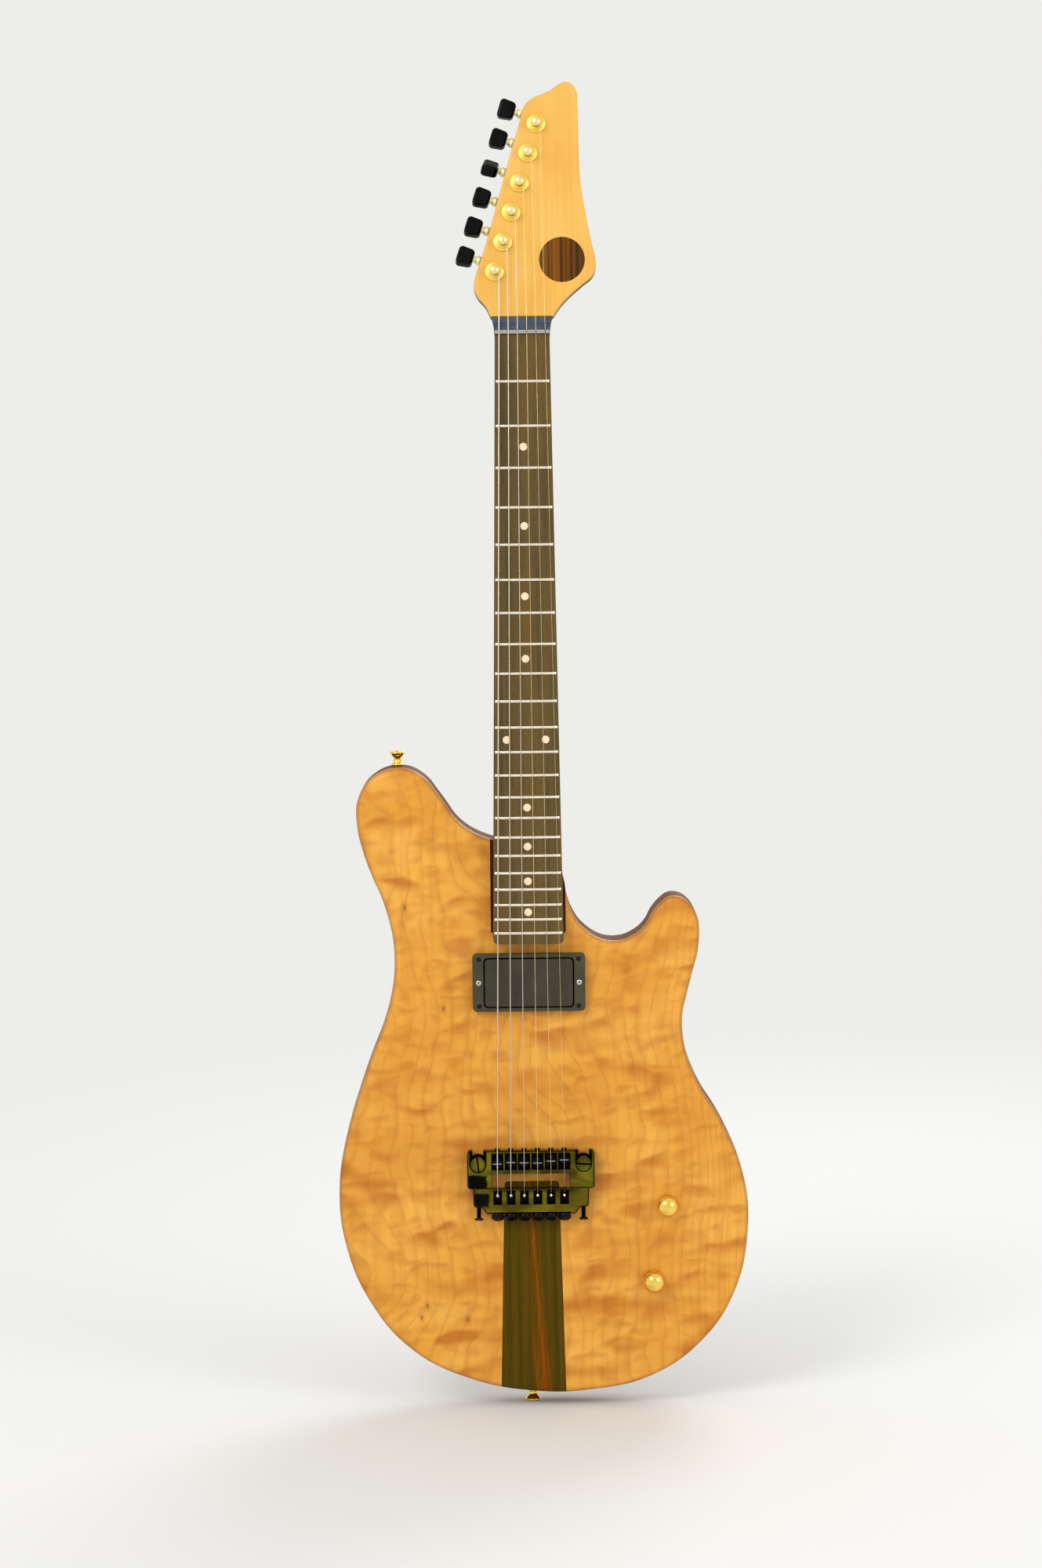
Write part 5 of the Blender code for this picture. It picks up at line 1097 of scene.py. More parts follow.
class GUITAR_OT_neck(Operator):
    """Neck: round back that runs out under the headstock, with its heel and headstock"""

    bl_idname = "guitar.neck"
    bl_label = "Neck"

    def execute(self, context):
        sizes = context.scene.guitar_sizes
        front = BOARD_FOOT_Y + 0.0002
        heel_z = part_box("neck")[0].z
        top, throat = 0.5727, 0.5480
        outer = smoothed(ring_at("headstock_overlay", OVERLAY_DEPTH, HEAD))
        foot = max(abs(x) for x, z in outer if z < 0.0004) - 0.0003
        levels = [heel_z + (throat - heel_z) * step / 20 for step in range(20)]
        levels += [throat + (top - throat) * step / 16 for step in range(17)]
        # Sections: half width, depth, height and how round the corners are, 1 for an ellipse
        sections = []
        for z in levels:
            half = board_half(z, sizes.nut_width)
            widen = max(0.0, (z - throat) / (top - throat))
            sections.append((
                half + (foot - half) * widen ** 3, 0.66 * half, z, 1.0 - 0.86 * widen ** 1.5))
        for step in range(1, 13):
            angle = math.pi / 2 * step / 12.4
            sections.append((
                foot * math.cos(angle), 0.66 * half * math.cos(angle),
                top + 0.035 * math.sin(angle), 0.14))
        bm = bmesh.new()
        rings = []
        for half, depth, z, corner in sections:
            turns = [math.pi * step / 48 for step in range(49)]
            rings.append([bm.verts.new((
                half * math.copysign(abs(math.cos(turn)) ** corner, math.cos(turn)),
                front + depth * abs(math.sin(turn)) ** corner, z)) for turn in turns])
        for low, high in zip(rings, rings[1:]):
            for left, right in zip(range(48), range(1, 49)):
                bm.faces.new((low[left], low[right], high[right], high[left]))
        bm.faces.new(rings[0])
        bm.faces.new(rings[-1])
        bm.faces.new([ring[0] for ring in rings] + [ring[-1] for ring in reversed(rings)])
        above = block(
            (-0.03, -0.02, -0.0003), (0.03, OVERLAY_DEPTH + 0.0004, 0.06), HEAD)
        shaft = worked(bm, [above])

        core = slab(
            outer, OVERLAY_DEPTH + 0.0002, HEAD_DEPTH, 0.0, sizes.head_round, 5, HEAD)
        tongue = block(
            (-0.0115, OVERLAY_DEPTH + 0.0002, -0.014), (0.0115, HEAD_DEPTH - 0.0012, 0.004), HEAD)
        edge = smoothed(ring_at("body_core", -0.0055))
        heel = worked(
            slab(edge, FRONT_Y - 0.0005, FRONT_Y + 0.0198),
            [block((-0.0292, FRONT_Y - 0.004, heel_z), (0.0292, FRONT_Y + 0.024, NUT_Z))],
            "INTERSECT")
        neck = worked(shaft, [core, tongue, heel], "UNION")
        low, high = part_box("truss_rod")
        gap = Vector((0.0003, 0.0003, 0.0003))
        neck = worked(neck, [
            block(low - gap - Vector((0, 0.004, 0)), high + gap), barrel_holes(0.0050)])
        piece("neck_back", neck, "neck", stands_for=("neck",), smooth=40.0)

        face = slab(outer, 0.0, OVERLAY_DEPTH, sizes.head_round, 0.0, 5, HEAD)
        centre = Vector((0.0315, 0.0, 0.0443))
        face = worked(face, [
            barrel_holes(0.0050),
            rod(HEAD @ (centre + Vector((0, -0.004, 0))), HEAD @ (centre + Vector((0, 0.0012, 0))),
                0.0177, 96)])
        piece("headstock_face", face, "overlay", stands_for=("headstock_overlay",))
        normal = HEAD.to_3x3() @ Vector((0, -1, 0))
        disc = turned(
            [(0.0, -0.001), (0.0175, -0.001), *arc(0.0173, -0.0002, 0.0002, 0.0, 90.0, 3),
             (0.0, 0.0)], HEAD @ centre, normal, 96)
        piece("headstock_disc", disc, "inlay", stands_for=("headstock_inlay",))
        paint("truss_rod", "steel")
        return {"FINISHED"}


class GUITAR_OT_fingerboard(Operator):
    """Fingerboard with its frets, dots, nut and the slope behind the nut"""

    bl_idname = "guitar.fingerboard"
    bl_label = "Fingerboard"

    def crown(self, x):
        return BOARD_Y + x * x / (2 * self.sizes.board_radius)

    def board(self):
        corner = 0.004
        half_end = board_half(BOARD_END_Z, self.sizes.nut_width)
        levels = []
        for step in range(9):
            angle = math.pi / 2 * step / 8
            levels.append((
                BOARD_END_Z + corner * (1 - math.cos(angle)),
                half_end - corner + corner * math.sin(angle)))
        levels.append((NUT_Z, board_half(NUT_Z, self.sizes.nut_width)))
        bm = bmesh.new()
        rings = []
        for z, half in levels:
            ring = [bm.verts.new((-half, BOARD_FOOT_Y, z)), bm.verts.new((-half, BOARD_Y + 0.0018, z))]
            for step in range(25):
                x = (half - 0.0003) * (step / 12 - 1)
                drop = 0.0003 if step in (0, 24) else 0.0
                x += math.copysign(0.0002, x) if step in (0, 24) else 0.0
                ring.append(bm.verts.new((x, self.crown(x) + drop, z)))
            ring.append(bm.verts.new((half, BOARD_Y + 0.0018, z)))
            ring.append(bm.verts.new((half, BOARD_FOOT_Y, z)))
            rings.append(ring)
        for low, high in zip(rings, rings[1:]):
            for index in range(len(low)):
                after = (index + 1) % len(low)
                bm.faces.new((low[index], low[after], high[after], high[index]))
        bm.faces.new(rings[0])
        bm.faces.new(rings[-1])
        return bm

    def wire(self, number):
        """One fret wire with bevelled ends."""
        z = NUT_Z - SCALE_LENGTH * (1 - 2 ** (-number / 12))
        half = board_half(z, self.sizes.nut_width) - 0.0009
        bm = bmesh.new()
        rings = []
        spots = [-half, -half + 0.0004, -half + 0.0009]
        spots += [(half - 0.0009) * (step / 6 - 1) for step in range(1, 12)]
        spots += [half - 0.0009, half - 0.0004, half]
        for x in spots:
            share = min(1.0, 0.15 + (half - abs(x)) / 0.0009 * 0.85)
            ring = [bm.verts.new((x, self.crown(x) + 0.0006, z - self.sizes.fret_width / 2))]
            for step in range(9):
                angle = math.pi * step / 8
                ring.append(bm.verts.new((
                    x, self.crown(x) - share * self.sizes.fret_height * math.sin(angle) ** 0.8,
                    z - self.sizes.fret_width / 2 * math.cos(angle))))
            ring.append(bm.verts.new((x, self.crown(x) + 0.0006, z + self.sizes.fret_width / 2)))
            rings.append(ring)
        for low, high in zip(rings, rings[1:]):
            for index in range(len(low)):
                after = (index + 1) % len(low)
                bm.faces.new((low[index], low[after], high[after], high[index]))
        bm.faces.new(rings[0])
        bm.faces.new(rings[-1])
        return bm

    def execute(self, context):
        self.sizes = context.scene.guitar_sizes
        piece("fingerboard", self.board(), "board", stands_for=("fretboard",))
        piece("fret_wires", joined(*[self.wire(number) for number in range(1, 23)]), "fret",
              smooth=50.0)
        dots, side_dots = [], []
        radius = self.sizes.dot_radius
        for number in DOT_FRETS:
            upper, lower = (NUT_Z - SCALE_LENGTH * (1 - 2 ** (-n / 12)) for n in (number - 1, number))
            z = (upper + lower) / 2
            for x in ((-0.0154, 0.0150) if number == 12 else (0.0,)):
                dots.append(turned(
                    [(0.0, -0.001), (radius, -0.001), (radius, 0.00004),
                     (radius - 0.0002, 0.0001), (0.0, 0.00014)],
                    (x, self.crown(x), z), (0, -1, 0), 40))
            for shift in ((-0.0035, 0.0035) if number == 12 else (0.0,)):
                side_dots.append(turned(
                    [(0.0, -0.0006), (0.0010, -0.0006), (0.0010, 0.00006), (0.0, 0.00012)],
                    (-board_half(z + shift, self.sizes.nut_width), BOARD_Y + 0.0036, z + shift),
                    (-1, 0, 0), 20))
        piece("face_dots", joined(*dots), "dot")
        piece("side_dots", joined(*side_dots), "dot")
        piece("string_nut", flattened(cad_shape("nut")), "nut", stands_for=("nut",))
        piece("nut_slope", cad_shape("nut_ramp"), "ramp", stands_for=("nut_ramp",), smooth=40.0)
        return {"FINISHED"}


# --- tuners and strings --------------------------------------------------------------


class GUITAR_OT_tuners(Operator):
    """Six tuners: housing with its bushing, post with its cap, and button"""

    bl_idname = "guitar.tuners"
    bl_label = "Tuners"

    def execute(self, context):
        normal = HEAD.to_3x3() @ Vector((0, -1, 0))
        for number in NUMBERS:
            shaft, out = joint(f"tuner_button_{number}_spin")
            post, _ = joint(f"tuner_post_{number}_spin")
            turn = Matrix((out, -normal, out.cross(-normal))).transposed().to_4x4()
            self.housing(number, post, shaft, out, normal, turn)
            self.post(number, post, normal)
            self.button(number, shaft, turn)
        return {"FINISHED"}

    def housing(self, number, post, shaft, out, normal, turn):
        case = block(
            (-0.0068, -0.0049, -0.0050), (0.0108, 0.0049, 0.0155),
            Matrix.Translation(shaft) @ turn, 0.0018, 5)
        cap = turned(
            [(0.0, -0.001), (0.0062, -0.001), *arc(0.0056, 0.0002, 0.0006, 0.0, 90.0, 4),
             (0.0, 0.0008)],
            shaft + out * 0.002 - normal * 0.0046 + turn.to_3x3() @ Vector((0, 0, 0.0087)) * 0.6,
            -normal, 40)
        bead = [(0.0018 + 0.0023 * math.cos(angle), 0.0148 + 0.0031 * math.sin(angle))
                for angle in (math.radians(12.0 * step) for step in range(-6, 7))]
        collar = turned(
            [(0.0, 0.0106), (0.0036, 0.0106), (0.0036, 0.0116), *bead, (0.0028, 0.0180),
             (0.0028, 0.0189), (0.0026, 0.0191), (0.0, 0.0191)], shaft, out, 40)
        flange = turned(
            [(0.0, -0.0152), (0.0046, -0.0152), (0.0047, -0.0002), (0.0070, -0.0001),
             *arc(0.0069, 0.0008, 0.0005, -60.0, 80.0, 6), (0.0060, 0.0018), (0.0055, 0.0019),
             (0.0053, 0.0021), (0.0052, 0.0025), *arc(0.0048, 0.0025, 0.0004, 0.0, 90.0, 4),
             (0.0034, 0.0029), (0.0, 0.0029)],
            post, normal, 64)
        bores = [
            rod(post - normal * 0.0163, post + normal * 0.006, 0.0033, 32),
            rod(shaft - out * 0.0048, shaft + out * 0.023, 0.0023, 24)]
        piece(f"tuner_collar_{number}", worked(collar, [bores[1].copy()]), "collar")
        piece(f"tuner_washer_{number}", worked(flange, [bores[0].copy()]), "washer")
        whole = worked(case, [cap], "UNION")
        piece(f"tuner_case_{number}", worked(whole, bores), "gold",
              stands_for=(f"tuner_housing_{number}",))

    def post(self, number, post, normal):
        profile = [
            (0.0, -0.016), (0.0030, -0.016), (0.0030, 0.0029), (0.0029, 0.0033), (0.0025, 0.0036),
            (0.0025, 0.0061), (0.0031, 0.0064), (0.0036, 0.0066), (0.0037, 0.0069),
            (0.0037, 0.0079), *arc(0.0020, 0.0083, 0.0017, 0.0, 60.0, 5), (0.0020, 0.0101),
            (0.0010, 0.0104), (0.0, 0.0105)]
        piece(f"tuner_spindle_{number}", turned(profile, post, normal, 48), "pale_gold",
              f"tuner_post_{number}", (f"tuner_post_{number}",))

    def button(self, number, shaft, turn):
        start, end = 0.0196, 0.0326
        place = (Matrix.Translation(shaft) @ turn
                 @ Matrix.Rotation(math.radians(BUTTON_TURNS[number]), 4, "X"))
        outline = rounded(
            [(start, 0.0067), (start, -0.0067), (end, -0.0082), (end, 0.0082)], 0.0032, 8)
        bm = slab(outline, -0.0043, 0.0043, 0.0021, 0.0021, 6, place)
        stem = rod(place @ Vector((-0.0045, 0, 0)), place @ Vector((start + 0.006, 0, 0)), 0.0020, 24)
        end_screw = rod(
            place @ Vector((end - 0.0004, 0, 0)), place @ Vector((end + 0.0002, 0, 0)), 0.0016, 24)
        piece(f"tuner_knob_{number}", bm, "gloss", f"tuner_button_{number}",
              (f"tuner_button_{number}",))
        piece(f"tuner_shaft_{number}", joined(stem, end_screw), "pale_gold",
              f"tuner_button_{number}")


class GUITAR_OT_strings(Operator):
    """Six strings, the three thicker ones wound"""

    bl_idname = "guitar.strings"
    bl_label = "Strings"

    def execute(self, context):
        for number in NUMBERS:
            piece(f"string_wire_{number}", cad_shape(f"string_{number}"),
                  "wound" if number > 3 else "plain", stands_for=(f"string_{number}",), smooth=50.0)
        return {"FINISHED"}


# --- bridge --------------------------------------------------------------------------


class GUITAR_OT_bridge(Operator):
    """Bridge: cast frame on two slotted studs"""

    bl_idname = "guitar.bridge"
    bl_label = "Bridge"

    def rims(self, shape, depth, most):
        """The longest rims of the casting's flat front at a depth."""
        rims = []
        edges = {edge for face in shape.faces for edge in face.edges
                 if face.normal.y < -0.99 and abs(face.calc_center_median().y - depth) < 0.00005}
        edges = {edge for edge in edges if any(face.normal.y > -0.9 for face in edge.link_faces)}
        while edges:
            rim, queue = [], [edges.pop()]
            while queue:
                edge = queue.pop()
                rim.append(edge)
                for vertex in edge.verts:
                    for other in vertex.link_edges:
                        if other in edges:
                            edges.remove(other)
                            queue.append(other)
            rims.append(rim)
        rims.sort(key=lambda rim: -sum(edge.calc_length() for edge in rim))
        return [edge for rim in rims[:most] for edge in rim]

    def execute(self, context):
        sizes = context.scene.guitar_sizes
        shape = flattened(cad_shape("bridge_frame", 0.02), 2.0)
        for depth, most in ((0.0125, 2), (0.0115, 1)):
            bmesh.ops.bevel(
                shape, geom=self.rims(shape, FRONT_Y - depth, most), offset=0.0011, segments=4,
                profile=0.5, affect="EDGES", clamp_overlap=True)
        casting = piece(
            "bridge_casting", shape, "bridge", stands_for=("bridge_frame",), smooth=38.0)
        soften = casting.modifiers.new("soft_edges", "BEVEL")
        soften.width = sizes.bridge_edge
        soften.segments = 2
        soften.limit_method = "ANGLE"
        soften.angle_limit = math.radians(50.0)
        soften.use_clamp_overlap = True
        for word, turn in (("bass", 83.0), ("treble", 4.0)):
            low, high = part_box(f"bridge_stud_{word}")
            base = Vector(((low.x + high.x) / 2, FRONT_Y, (low.z + high.z) / 2))
            stud = turned(
                [(0.0, -0.018), (0.0040, -0.018), (0.0040, 0.0003), (0.0066, 0.0003),
                 *arc(0.0064, 0.0010, 0.0004, -60.0, 90.0, 5), (0.0062, 0.0022), (0.0040, 0.0022),
                 (0.0040, 0.0088), (0.0058, 0.0088), *arc(0.0056, 0.0092, 0.0004, -60.0, 0.0, 3),
                 *arc(0.0054, 0.0124, 0.0006, 0.0, 90.0, 5), (0.0050, 0.0130), (0.0047, 0.0127),
                 (0.0044, 0.0127), (0.0042, 0.0130), (0.0, 0.0132)],
                base, (0, -1, 0), 56)
            slot = block(
                (-0.010, -0.020, -0.0007), (0.010, -0.0094, 0.0007),
                Matrix.Translation(base) @ Matrix.Rotation(math.radians(turn), 4, "Y"))
            piece(f"bridge_post_{word}", worked(stud, [slot]), "bridge",
                  stands_for=(f"bridge_stud_{word}",))
        return {"FINISHED"}


class GUITAR_OT_saddles(Operator):
    """Six saddles, each a dark block with a crest under its string painted pale as a highlight"""

    bl_idname = "guitar.saddles"
    bl_label = "Saddles"

    def execute(self, context):
        for number in NUMBERS:
            low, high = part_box(f"saddle_{number}")
            x, z = (low.x + high.x) / 2, (low.z + high.z) / 2
            shoulder = FRONT_Y - 0.0107
            half = (high.x - low.x) / 2
            foot = block((x - half * 0.8, shoulder + 0.0010, low.z), (x + half * 0.8, high.y, high.z),
                         edge=0.0004, steps=2)
            wing = block((x - half, shoulder, z - 0.0017), (x + half, shoulder + 0.0030, z + 0.0017),
                         edge=0.0005, steps=2)
            bore = rod(
                (x, FRONT_Y - 0.0080, z - 0.010), (x, FRONT_Y - 0.0080, z + 0.010), 0.0014, 24)
            body = worked(worked(foot, [wing], "UNION"), [bore])
            piece(f"saddle_block_{number}", body, "dark_screw", f"saddle_{number}",
                  (f"saddle_{number}",))
            # Painted highlight: the crest is a pale blue grey metal that stands for the light it
            # catches
            crest = turned(
                [(0.0, -half + 0.0003), (0.0003, -half + 0.0003), (0.0006, -half + 0.0006),
                 (0.0006, half - 0.0006), (0.0003, half - 0.0003), (0.0, half - 0.0003)],
                (x, low.y + 0.0006, z), (1, 0, 0), 24)
            base = block(
                (x - half + 0.0006, low.y + 0.0006, z - 0.0005),
                (x + half - 0.0006, shoulder + 0.0012, z + 0.0005))
            piece(f"saddle_crest_{number}", worked(crest, [base], "UNION"), "crest",
                  f"saddle_{number}")
        return {"FINISHED"}


class GUITAR_OT_fine_tuners(Operator):
    """Six knurled thumbscrews behind the strings' ball ends"""

    bl_idname = "guitar.fine_tuners"
    bl_label = "Fine tuners"

    def execute(self, context):
        knurl = context.scene.guitar_sizes.knurl
        for number in NUMBERS:
            place, axis = joint(f"fine_tuner_{number}_turn")
            profile = [
                (0.0, -0.0068), (0.0015, -0.0068), (0.0015, -0.0016), (0.0040, -0.0015),
                (0.0047, -0.0012), (0.0050, -0.0008, 0.6), (0.0050, 0.0004, 0.6), (0.0047, 0.0009),
                (0.0040, 0.0014), (0.0026, 0.0016), (0.0014, 0.00165), (0.0, 0.0017)]
            piece(f"thumbscrew_{number}", turned(profile, place, axis, 72, knurl), "gloss",
                  f"fine_tuner_{number}", (f"fine_tuner_{number}",), 28.0)
        return {"FINISHED"}


# --- pickup and controls -------------------------------------------------------------


class GUITAR_OT_pickup(Operator):
    """Humbucker with a plain cover in its ring, with the ring's six screws"""

    bl_idname = "guitar.pickup"
    bl_label = "Pickup"

    def execute(self, context):
        low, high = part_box("pickup_ring")
        z = (low.z + high.z) / 2
        ring = slab(
            rectangle(0.0, z, 0.0442, 0.0228, 0.0035, 8), low.y, FRONT_Y - 0.0003, 0.0014, 0.0, 5)
        opening = slab(
            rectangle(0.0, z, 0.0356, 0.0199, 0.0036, 8), FRONT_Y - 0.02, FRONT_Y + 0.004)
        spots = [Vector((x * 0.0390, FRONT_Y - 0.0065, z + up * 0.0185))
                 for x in (-1, 1) for up in (-1, 1)]
        sinks = [turned(
            [(0.0, -0.0012), (0.0011, -0.0010), (0.0019, 0.0001), (0.0019, 0.002), (0.0, 0.002)],
            spot, (0, -1, 0), 32) for spot in spots]
        ring_piece = worked(ring, [opening, *sinks])
        piece("pickup_frame", ring_piece, "ring", stands_for=("pickup_ring",))
        piece("frame_screws", joined(*[screw_head(
            spot + Vector((0, 0.0008, 0)), (0, -1, 0), 0.0017, 0.0002, cross=0.0005, turn=35.0 * i)
            for i, spot in enumerate(spots)]), "plate")
        heights = []
        for side in (-1, 1):
            head = Vector((side * 0.0395, FRONT_Y - 0.0068, z))
            heights.append(screw_head(head, (0, -1, 0), 0.0024, 0.0006, cross=0.0006, turn=45.0))
            heights.append(rod(
                head + Vector((0, 0.001, 0)), Vector((side * 0.0395, FRONT_Y + 0.0145, z)), 0.0012, 16))
        piece("height_screws", joined(*heights), "nickel")
        low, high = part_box("pickup")
        cover = slab(
            rectangle(0.0, z, 0.0345, 0.0188, 0.0030, 8), low.y, low.y + 0.022, 0.0012, 0.0, 5)
        ears = worked(
            slab(rectangle(0.0, z, 0.0417, 0.0070, 0.0030), low.y + 0.0155, low.y + 0.0171),
            [rod((side * 0.0395, low.y, z), (side * 0.0395, low.y + 0.03, z), 0.0015, 16)
             for side in (-1, 1)])
        piece("pickup_cover", worked(cover, [ears], "UNION"), "cover", "pickup", ("pickup",))
        return {"FINISHED"}


class GUITAR_OT_controls(Operator):
    """Two knobs on their potentiometers, the output jack and the battery"""

    bl_idname = "guitar.controls"
    bl_label = "Controls"

    def execute(self, context):
        knurl = context.scene.guitar_sizes.knurl
        for word in ("volume", "tone"):
            place, axis = joint(f"knob_{word}_turn")
            profile = [
                (0.0, -0.0122), (0.0030, -0.0122), (0.0030, 0.0042), (0.0055, 0.0042),
                (0.0055, 0.0012), (0.0078, 0.0012), (0.0080, 0.0014), (0.0080, 0.0020),
                (0.0081, 0.0024, 1.0), (0.0081, 0.0084, 1.0), (0.0080, 0.0088), (0.0079, 0.0092),
                *arc(0.0, 0.0060, 0.0090, 23.0, 88.0, 10), (0.0, 0.0150)]
            piece(f"knob_cap_{word}", turned(profile, place, axis, 96, knurl), "gold",
                  f"knob_{word}", (f"knob_{word}",), 25.0)
            paint(f"pot_{word}", "steel")
        low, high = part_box("output_jack")
        centre = Vector((high.x, (low.y + high.y) / 2, (low.z + high.z) / 2))
        barrel = turned(
            [(0.0, -0.034), (0.0058, -0.034), (0.0058, -0.0025), (0.0086, -0.0025),
             *arc(0.0080, -0.0006, 0.0006, 0.0, 80.0, 4), (0.0066, 0.0), (0.0050, 0.0),
             (0.0, 0.0)], centre, (1, 0, 0), 56)
        hole = rod(centre - Vector((0.031, 0, 0)), centre + Vector((0.004, 0, 0)), 0.00325, 32)
        piece("jack_socket", worked(barrel, [hole]), "gold", stands_for=("output_jack",))
        # Painted shade: a dark sleeve lines the socket's bore so that the hole shows dark
        painted_shade_sleeve = turned(
            [(0.0, -0.0305), (0.0032, -0.0305), (0.0032, -0.0016), (0.0029, -0.0016),
             (0.0029, -0.0280), (0.0, -0.0280)], centre, (1, 0, 0), 32)
        piece("jack_liner", painted_shade_sleeve, "cover")
        paint("battery", "battery")
        return {"FINISHED"}


class GUITAR_OT_strap_buttons(Operator):
    """Two turned strap buttons with their screws"""

    bl_idname = "guitar.strap_buttons"
    bl_label = "Strap buttons"

    def execute(self, context):
        for word, way in (("horn", 1), ("tail", -1)):
            low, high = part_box(f"strap_button_{word}")
            base = Vector((
                (low.x + high.x) / 2, (low.y + high.y) / 2,
                high.z - 0.0113 if way > 0 else low.z + 0.0113))
            button = turned(
                [(0.0, -0.0197), (0.0018, -0.0197), (0.0018, 0.0), (0.0046, 0.0),
                 *arc(0.0044, 0.0008, 0.0006, -60.0, 70.0, 5), (0.0038, 0.0020), (0.0032, 0.0030),
                 (0.0029, 0.0042), (0.0030, 0.0056), (0.0036, 0.0070), (0.0048, 0.0083),
                 (0.0056, 0.0090), *arc(0.0052, 0.0102, 0.0010, -50.0, 80.0, 8),
                 (0.0046, 0.0113), (0.0036, 0.0112), (0.0030, 0.0104), (0.0, 0.0104)],
                base, (0, 0, way), 56)
            piece(f"strap_pin_{word}", button, "gold", stands_for=(f"strap_button_{word}",))
            piece(f"strap_screw_{word}", screw_head(
                base + Vector((0, 0, way * 0.0105)), (0, 0, way), 0.0026, 0.0002, cross=0.0007,
                turn=30.0), "gold")
        return {"FINISHED"}


# --- stage ---------------------------------------------------------------------------


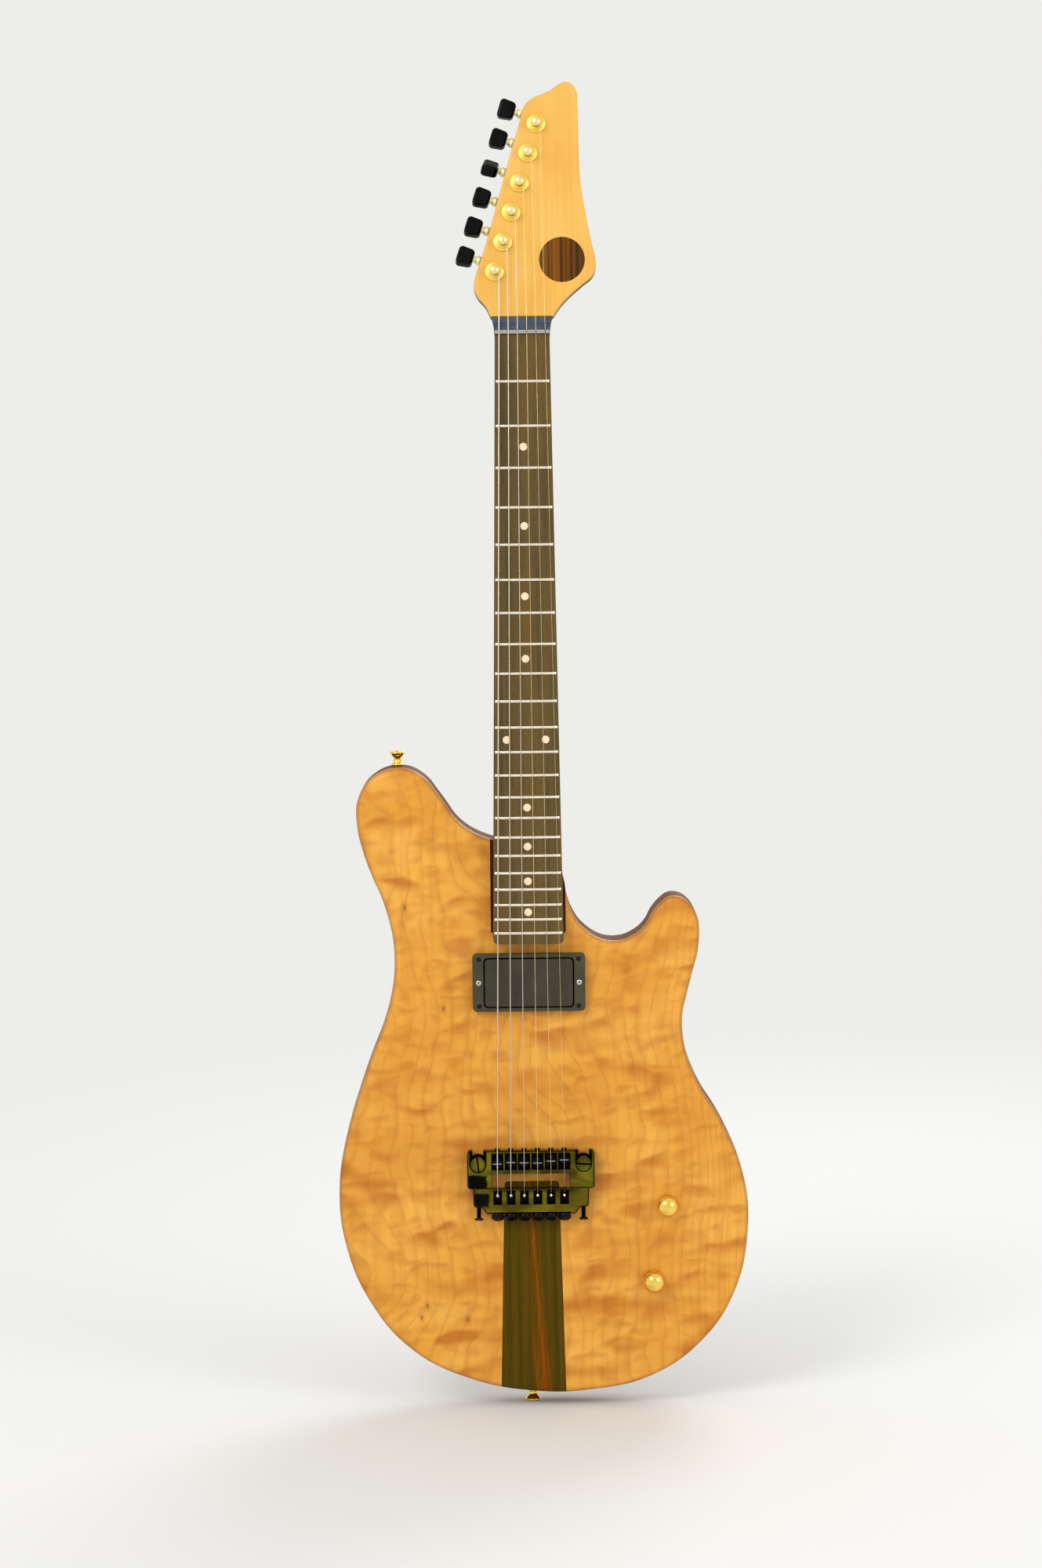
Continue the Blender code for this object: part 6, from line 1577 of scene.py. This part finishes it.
class GUITAR_OT_stage(Operator):
    """Camera, lamps, world and a plain pale floor"""

    bl_idname = "guitar.stage"
    bl_label = "Stage"

    def execute(self, context):
        scene = context.scene
        camera = bpy.data.cameras.new("photo_camera")
        camera.lens = 85.0
        camera.sensor_fit = "AUTO"
        camera.clip_end = 50.0
        holder = bpy.data.objects.new("photo_camera", camera)
        scene.collection.objects.link(holder)
        dip = math.radians(4.5757)
        up = Vector((0.0, math.sin(dip), math.cos(dip)))
        back = Vector((0.0, -math.cos(dip), math.sin(dip)))
        aim = Matrix((Vector((1.0, 0.0, 0.0)), up, back)).transposed().to_4x4()
        roll = Matrix.Rotation(math.radians(-0.611), 4, "Z")
        holder.matrix_world = Matrix.Translation((-0.00453, -2.93309, 0.44156)) @ aim @ roll
        scene.camera = holder

        self.lamp(scene, "key_softbox", (-1.5, -2.2, 1.9), (0.0, 0.0, 0.15), 1.3, 34.0)
        self.lamp(scene, "fill_softbox", (1.9, -1.6, 0.9), (0.0, 0.0, 0.1), 1.2, 13.0)
        self.lamp(scene, "rear_softbox", (0.9, 2.1, 1.6), (0.0, 0.0, 0.2), 1.4, 26.0)
        self.world(scene)
        self.floor(scene)
        scene.view_settings.view_transform = "Standard"
        return {"FINISHED"}

    def lamp(self, scene, name, place, target, size, power):
        light = bpy.data.lights.new(name, "AREA")
        light.shape = "SQUARE"
        light.size = size
        light.energy = power
        holder = bpy.data.objects.new(name, light)
        scene.collection.objects.link(holder)
        holder.location = place
        holder.rotation_mode = "QUATERNION"
        holder.rotation_quaternion = (Vector(target) - Vector(place)).to_track_quat("-Z", "Y")

    def world(self, scene):
        """Pale to the camera and in reflections, and plain soft light on the guitar."""
        world = bpy.data.worlds.new("pale_studio")
        world.use_nodes = True
        scene.world = world
        tree = world.node_tree
        tree.nodes.clear()
        rays = add(tree, "LightPath").outputs
        seen = add(
            tree, "Math", {0: rays["Is Camera Ray"], 1: rays["Is Glossy Ray"]},
            operation="MAXIMUM")
        seen = add(
            tree, "Math", {0: seen, 1: rays["Is Transmission Ray"]}, operation="MAXIMUM")
        pale = add(tree, "Background", {"Color": "#EDEDEA", "Strength": 1.0})
        soft = add(tree, "Background", {"Color": "#F6F6F6", "Strength": 0.70})
        add(tree, "OutputWorld", {
            "Surface": add(tree, "MixShader", {0: seen, 1: soft, 2: pale})})

    def floor(self, scene):
        mesh = bpy.data.meshes.new("floor")
        level = cad_box[0].z - 0.0005
        mesh.from_pydata(
            [(x, y, level) for x, y in ((-12, -12), (12, -12), (12, 12), (-12, 12))], [],
            [(0, 1, 2, 3)])
        made = bpy.data.objects.new("floor", mesh)
        scene.collection.objects.link(made)
        # Painted floor: it keeps the shadow near the guitar and fades into the background
        material, tree, shader = new_material(
            "pale_painted_floor", {"Base Color": "#EFEFEC", "Roughness": 0.85})
        away = add(
            tree, "VectorMath", {0: add(tree, "TexCoord").outputs["Object"]}, operation="LENGTH")
        far = add(
            tree, "MapRange", {"Value": away.outputs["Value"], "From Min": 0.5, "From Max": 2.2},
            interpolation_type="SMOOTHSTEP")
        rays = add(tree, "LightPath").outputs
        seen = add(
            tree, "Math", {0: rays["Is Camera Ray"], 1: rays["Is Glossy Ray"]},
            operation="MAXIMUM")
        seen = add(
            tree, "Math", {0: seen, 1: rays["Is Transmission Ray"]}, operation="MAXIMUM")
        share = add(tree, "Math", {0: far, 1: seen}, operation="MULTIPLY")
        pale = add(tree, "Emission", {"Color": "#EDEDEA", "Strength": 1.0})
        feed(tree, tree.nodes["Material Output"], {
            "Surface": add(tree, "MixShader", {0: share, 1: shader, 2: pale})})
        mesh.materials.append(material)


# --- panel and registration ----------------------------------------------------------


BUILD_ORDER = (
    "body", "neck", "fingerboard", "tuners", "strings", "bridge", "saddles", "fine_tuners",
    "pickup", "controls", "strap_buttons", "stage")


class GUITAR_PT_panel(Panel):
    """The guitar's pieces, sizes and colours"""

    bl_label = "Electric guitar"
    bl_idname = "GUITAR_PT_panel"
    bl_space_type = "VIEW_3D"
    bl_region_type = "UI"
    bl_category = "Guitar"

    def draw(self, context):
        for name in BUILD_ORDER:
            self.layout.operator(f"guitar.{name}")
        for group in (context.scene.guitar_sizes, context.scene.guitar_colours):
            box = self.layout.box()
            for field in group.__annotations__:
                box.prop(group, field)


CLASSES = (
    GuitarSizes, GuitarColours, GUITAR_OT_body, GUITAR_OT_neck, GUITAR_OT_fingerboard,
    GUITAR_OT_tuners, GUITAR_OT_strings, GUITAR_OT_bridge, GUITAR_OT_saddles,
    GUITAR_OT_fine_tuners, GUITAR_OT_pickup, GUITAR_OT_controls, GUITAR_OT_strap_buttons,
    GUITAR_OT_stage, GUITAR_PT_panel)


def register():
    for entry in CLASSES:
        bpy.utils.register_class(entry)
    bpy.types.Scene.guitar_sizes = PointerProperty(type=GuitarSizes)
    bpy.types.Scene.guitar_colours = PointerProperty(type=GuitarColours)


def unregister():
    del bpy.types.Scene.guitar_colours
    del bpy.types.Scene.guitar_sizes
    for entry in reversed(CLASSES):
        bpy.utils.unregister_class(entry)


def main():
    register()
    make_finishes(bpy.context.scene.guitar_colours)
    for name in BUILD_ORDER:
        getattr(bpy.ops.guitar, name)()
    bpy.context.view_layer.update()


if __name__ == "__main__":
    main()
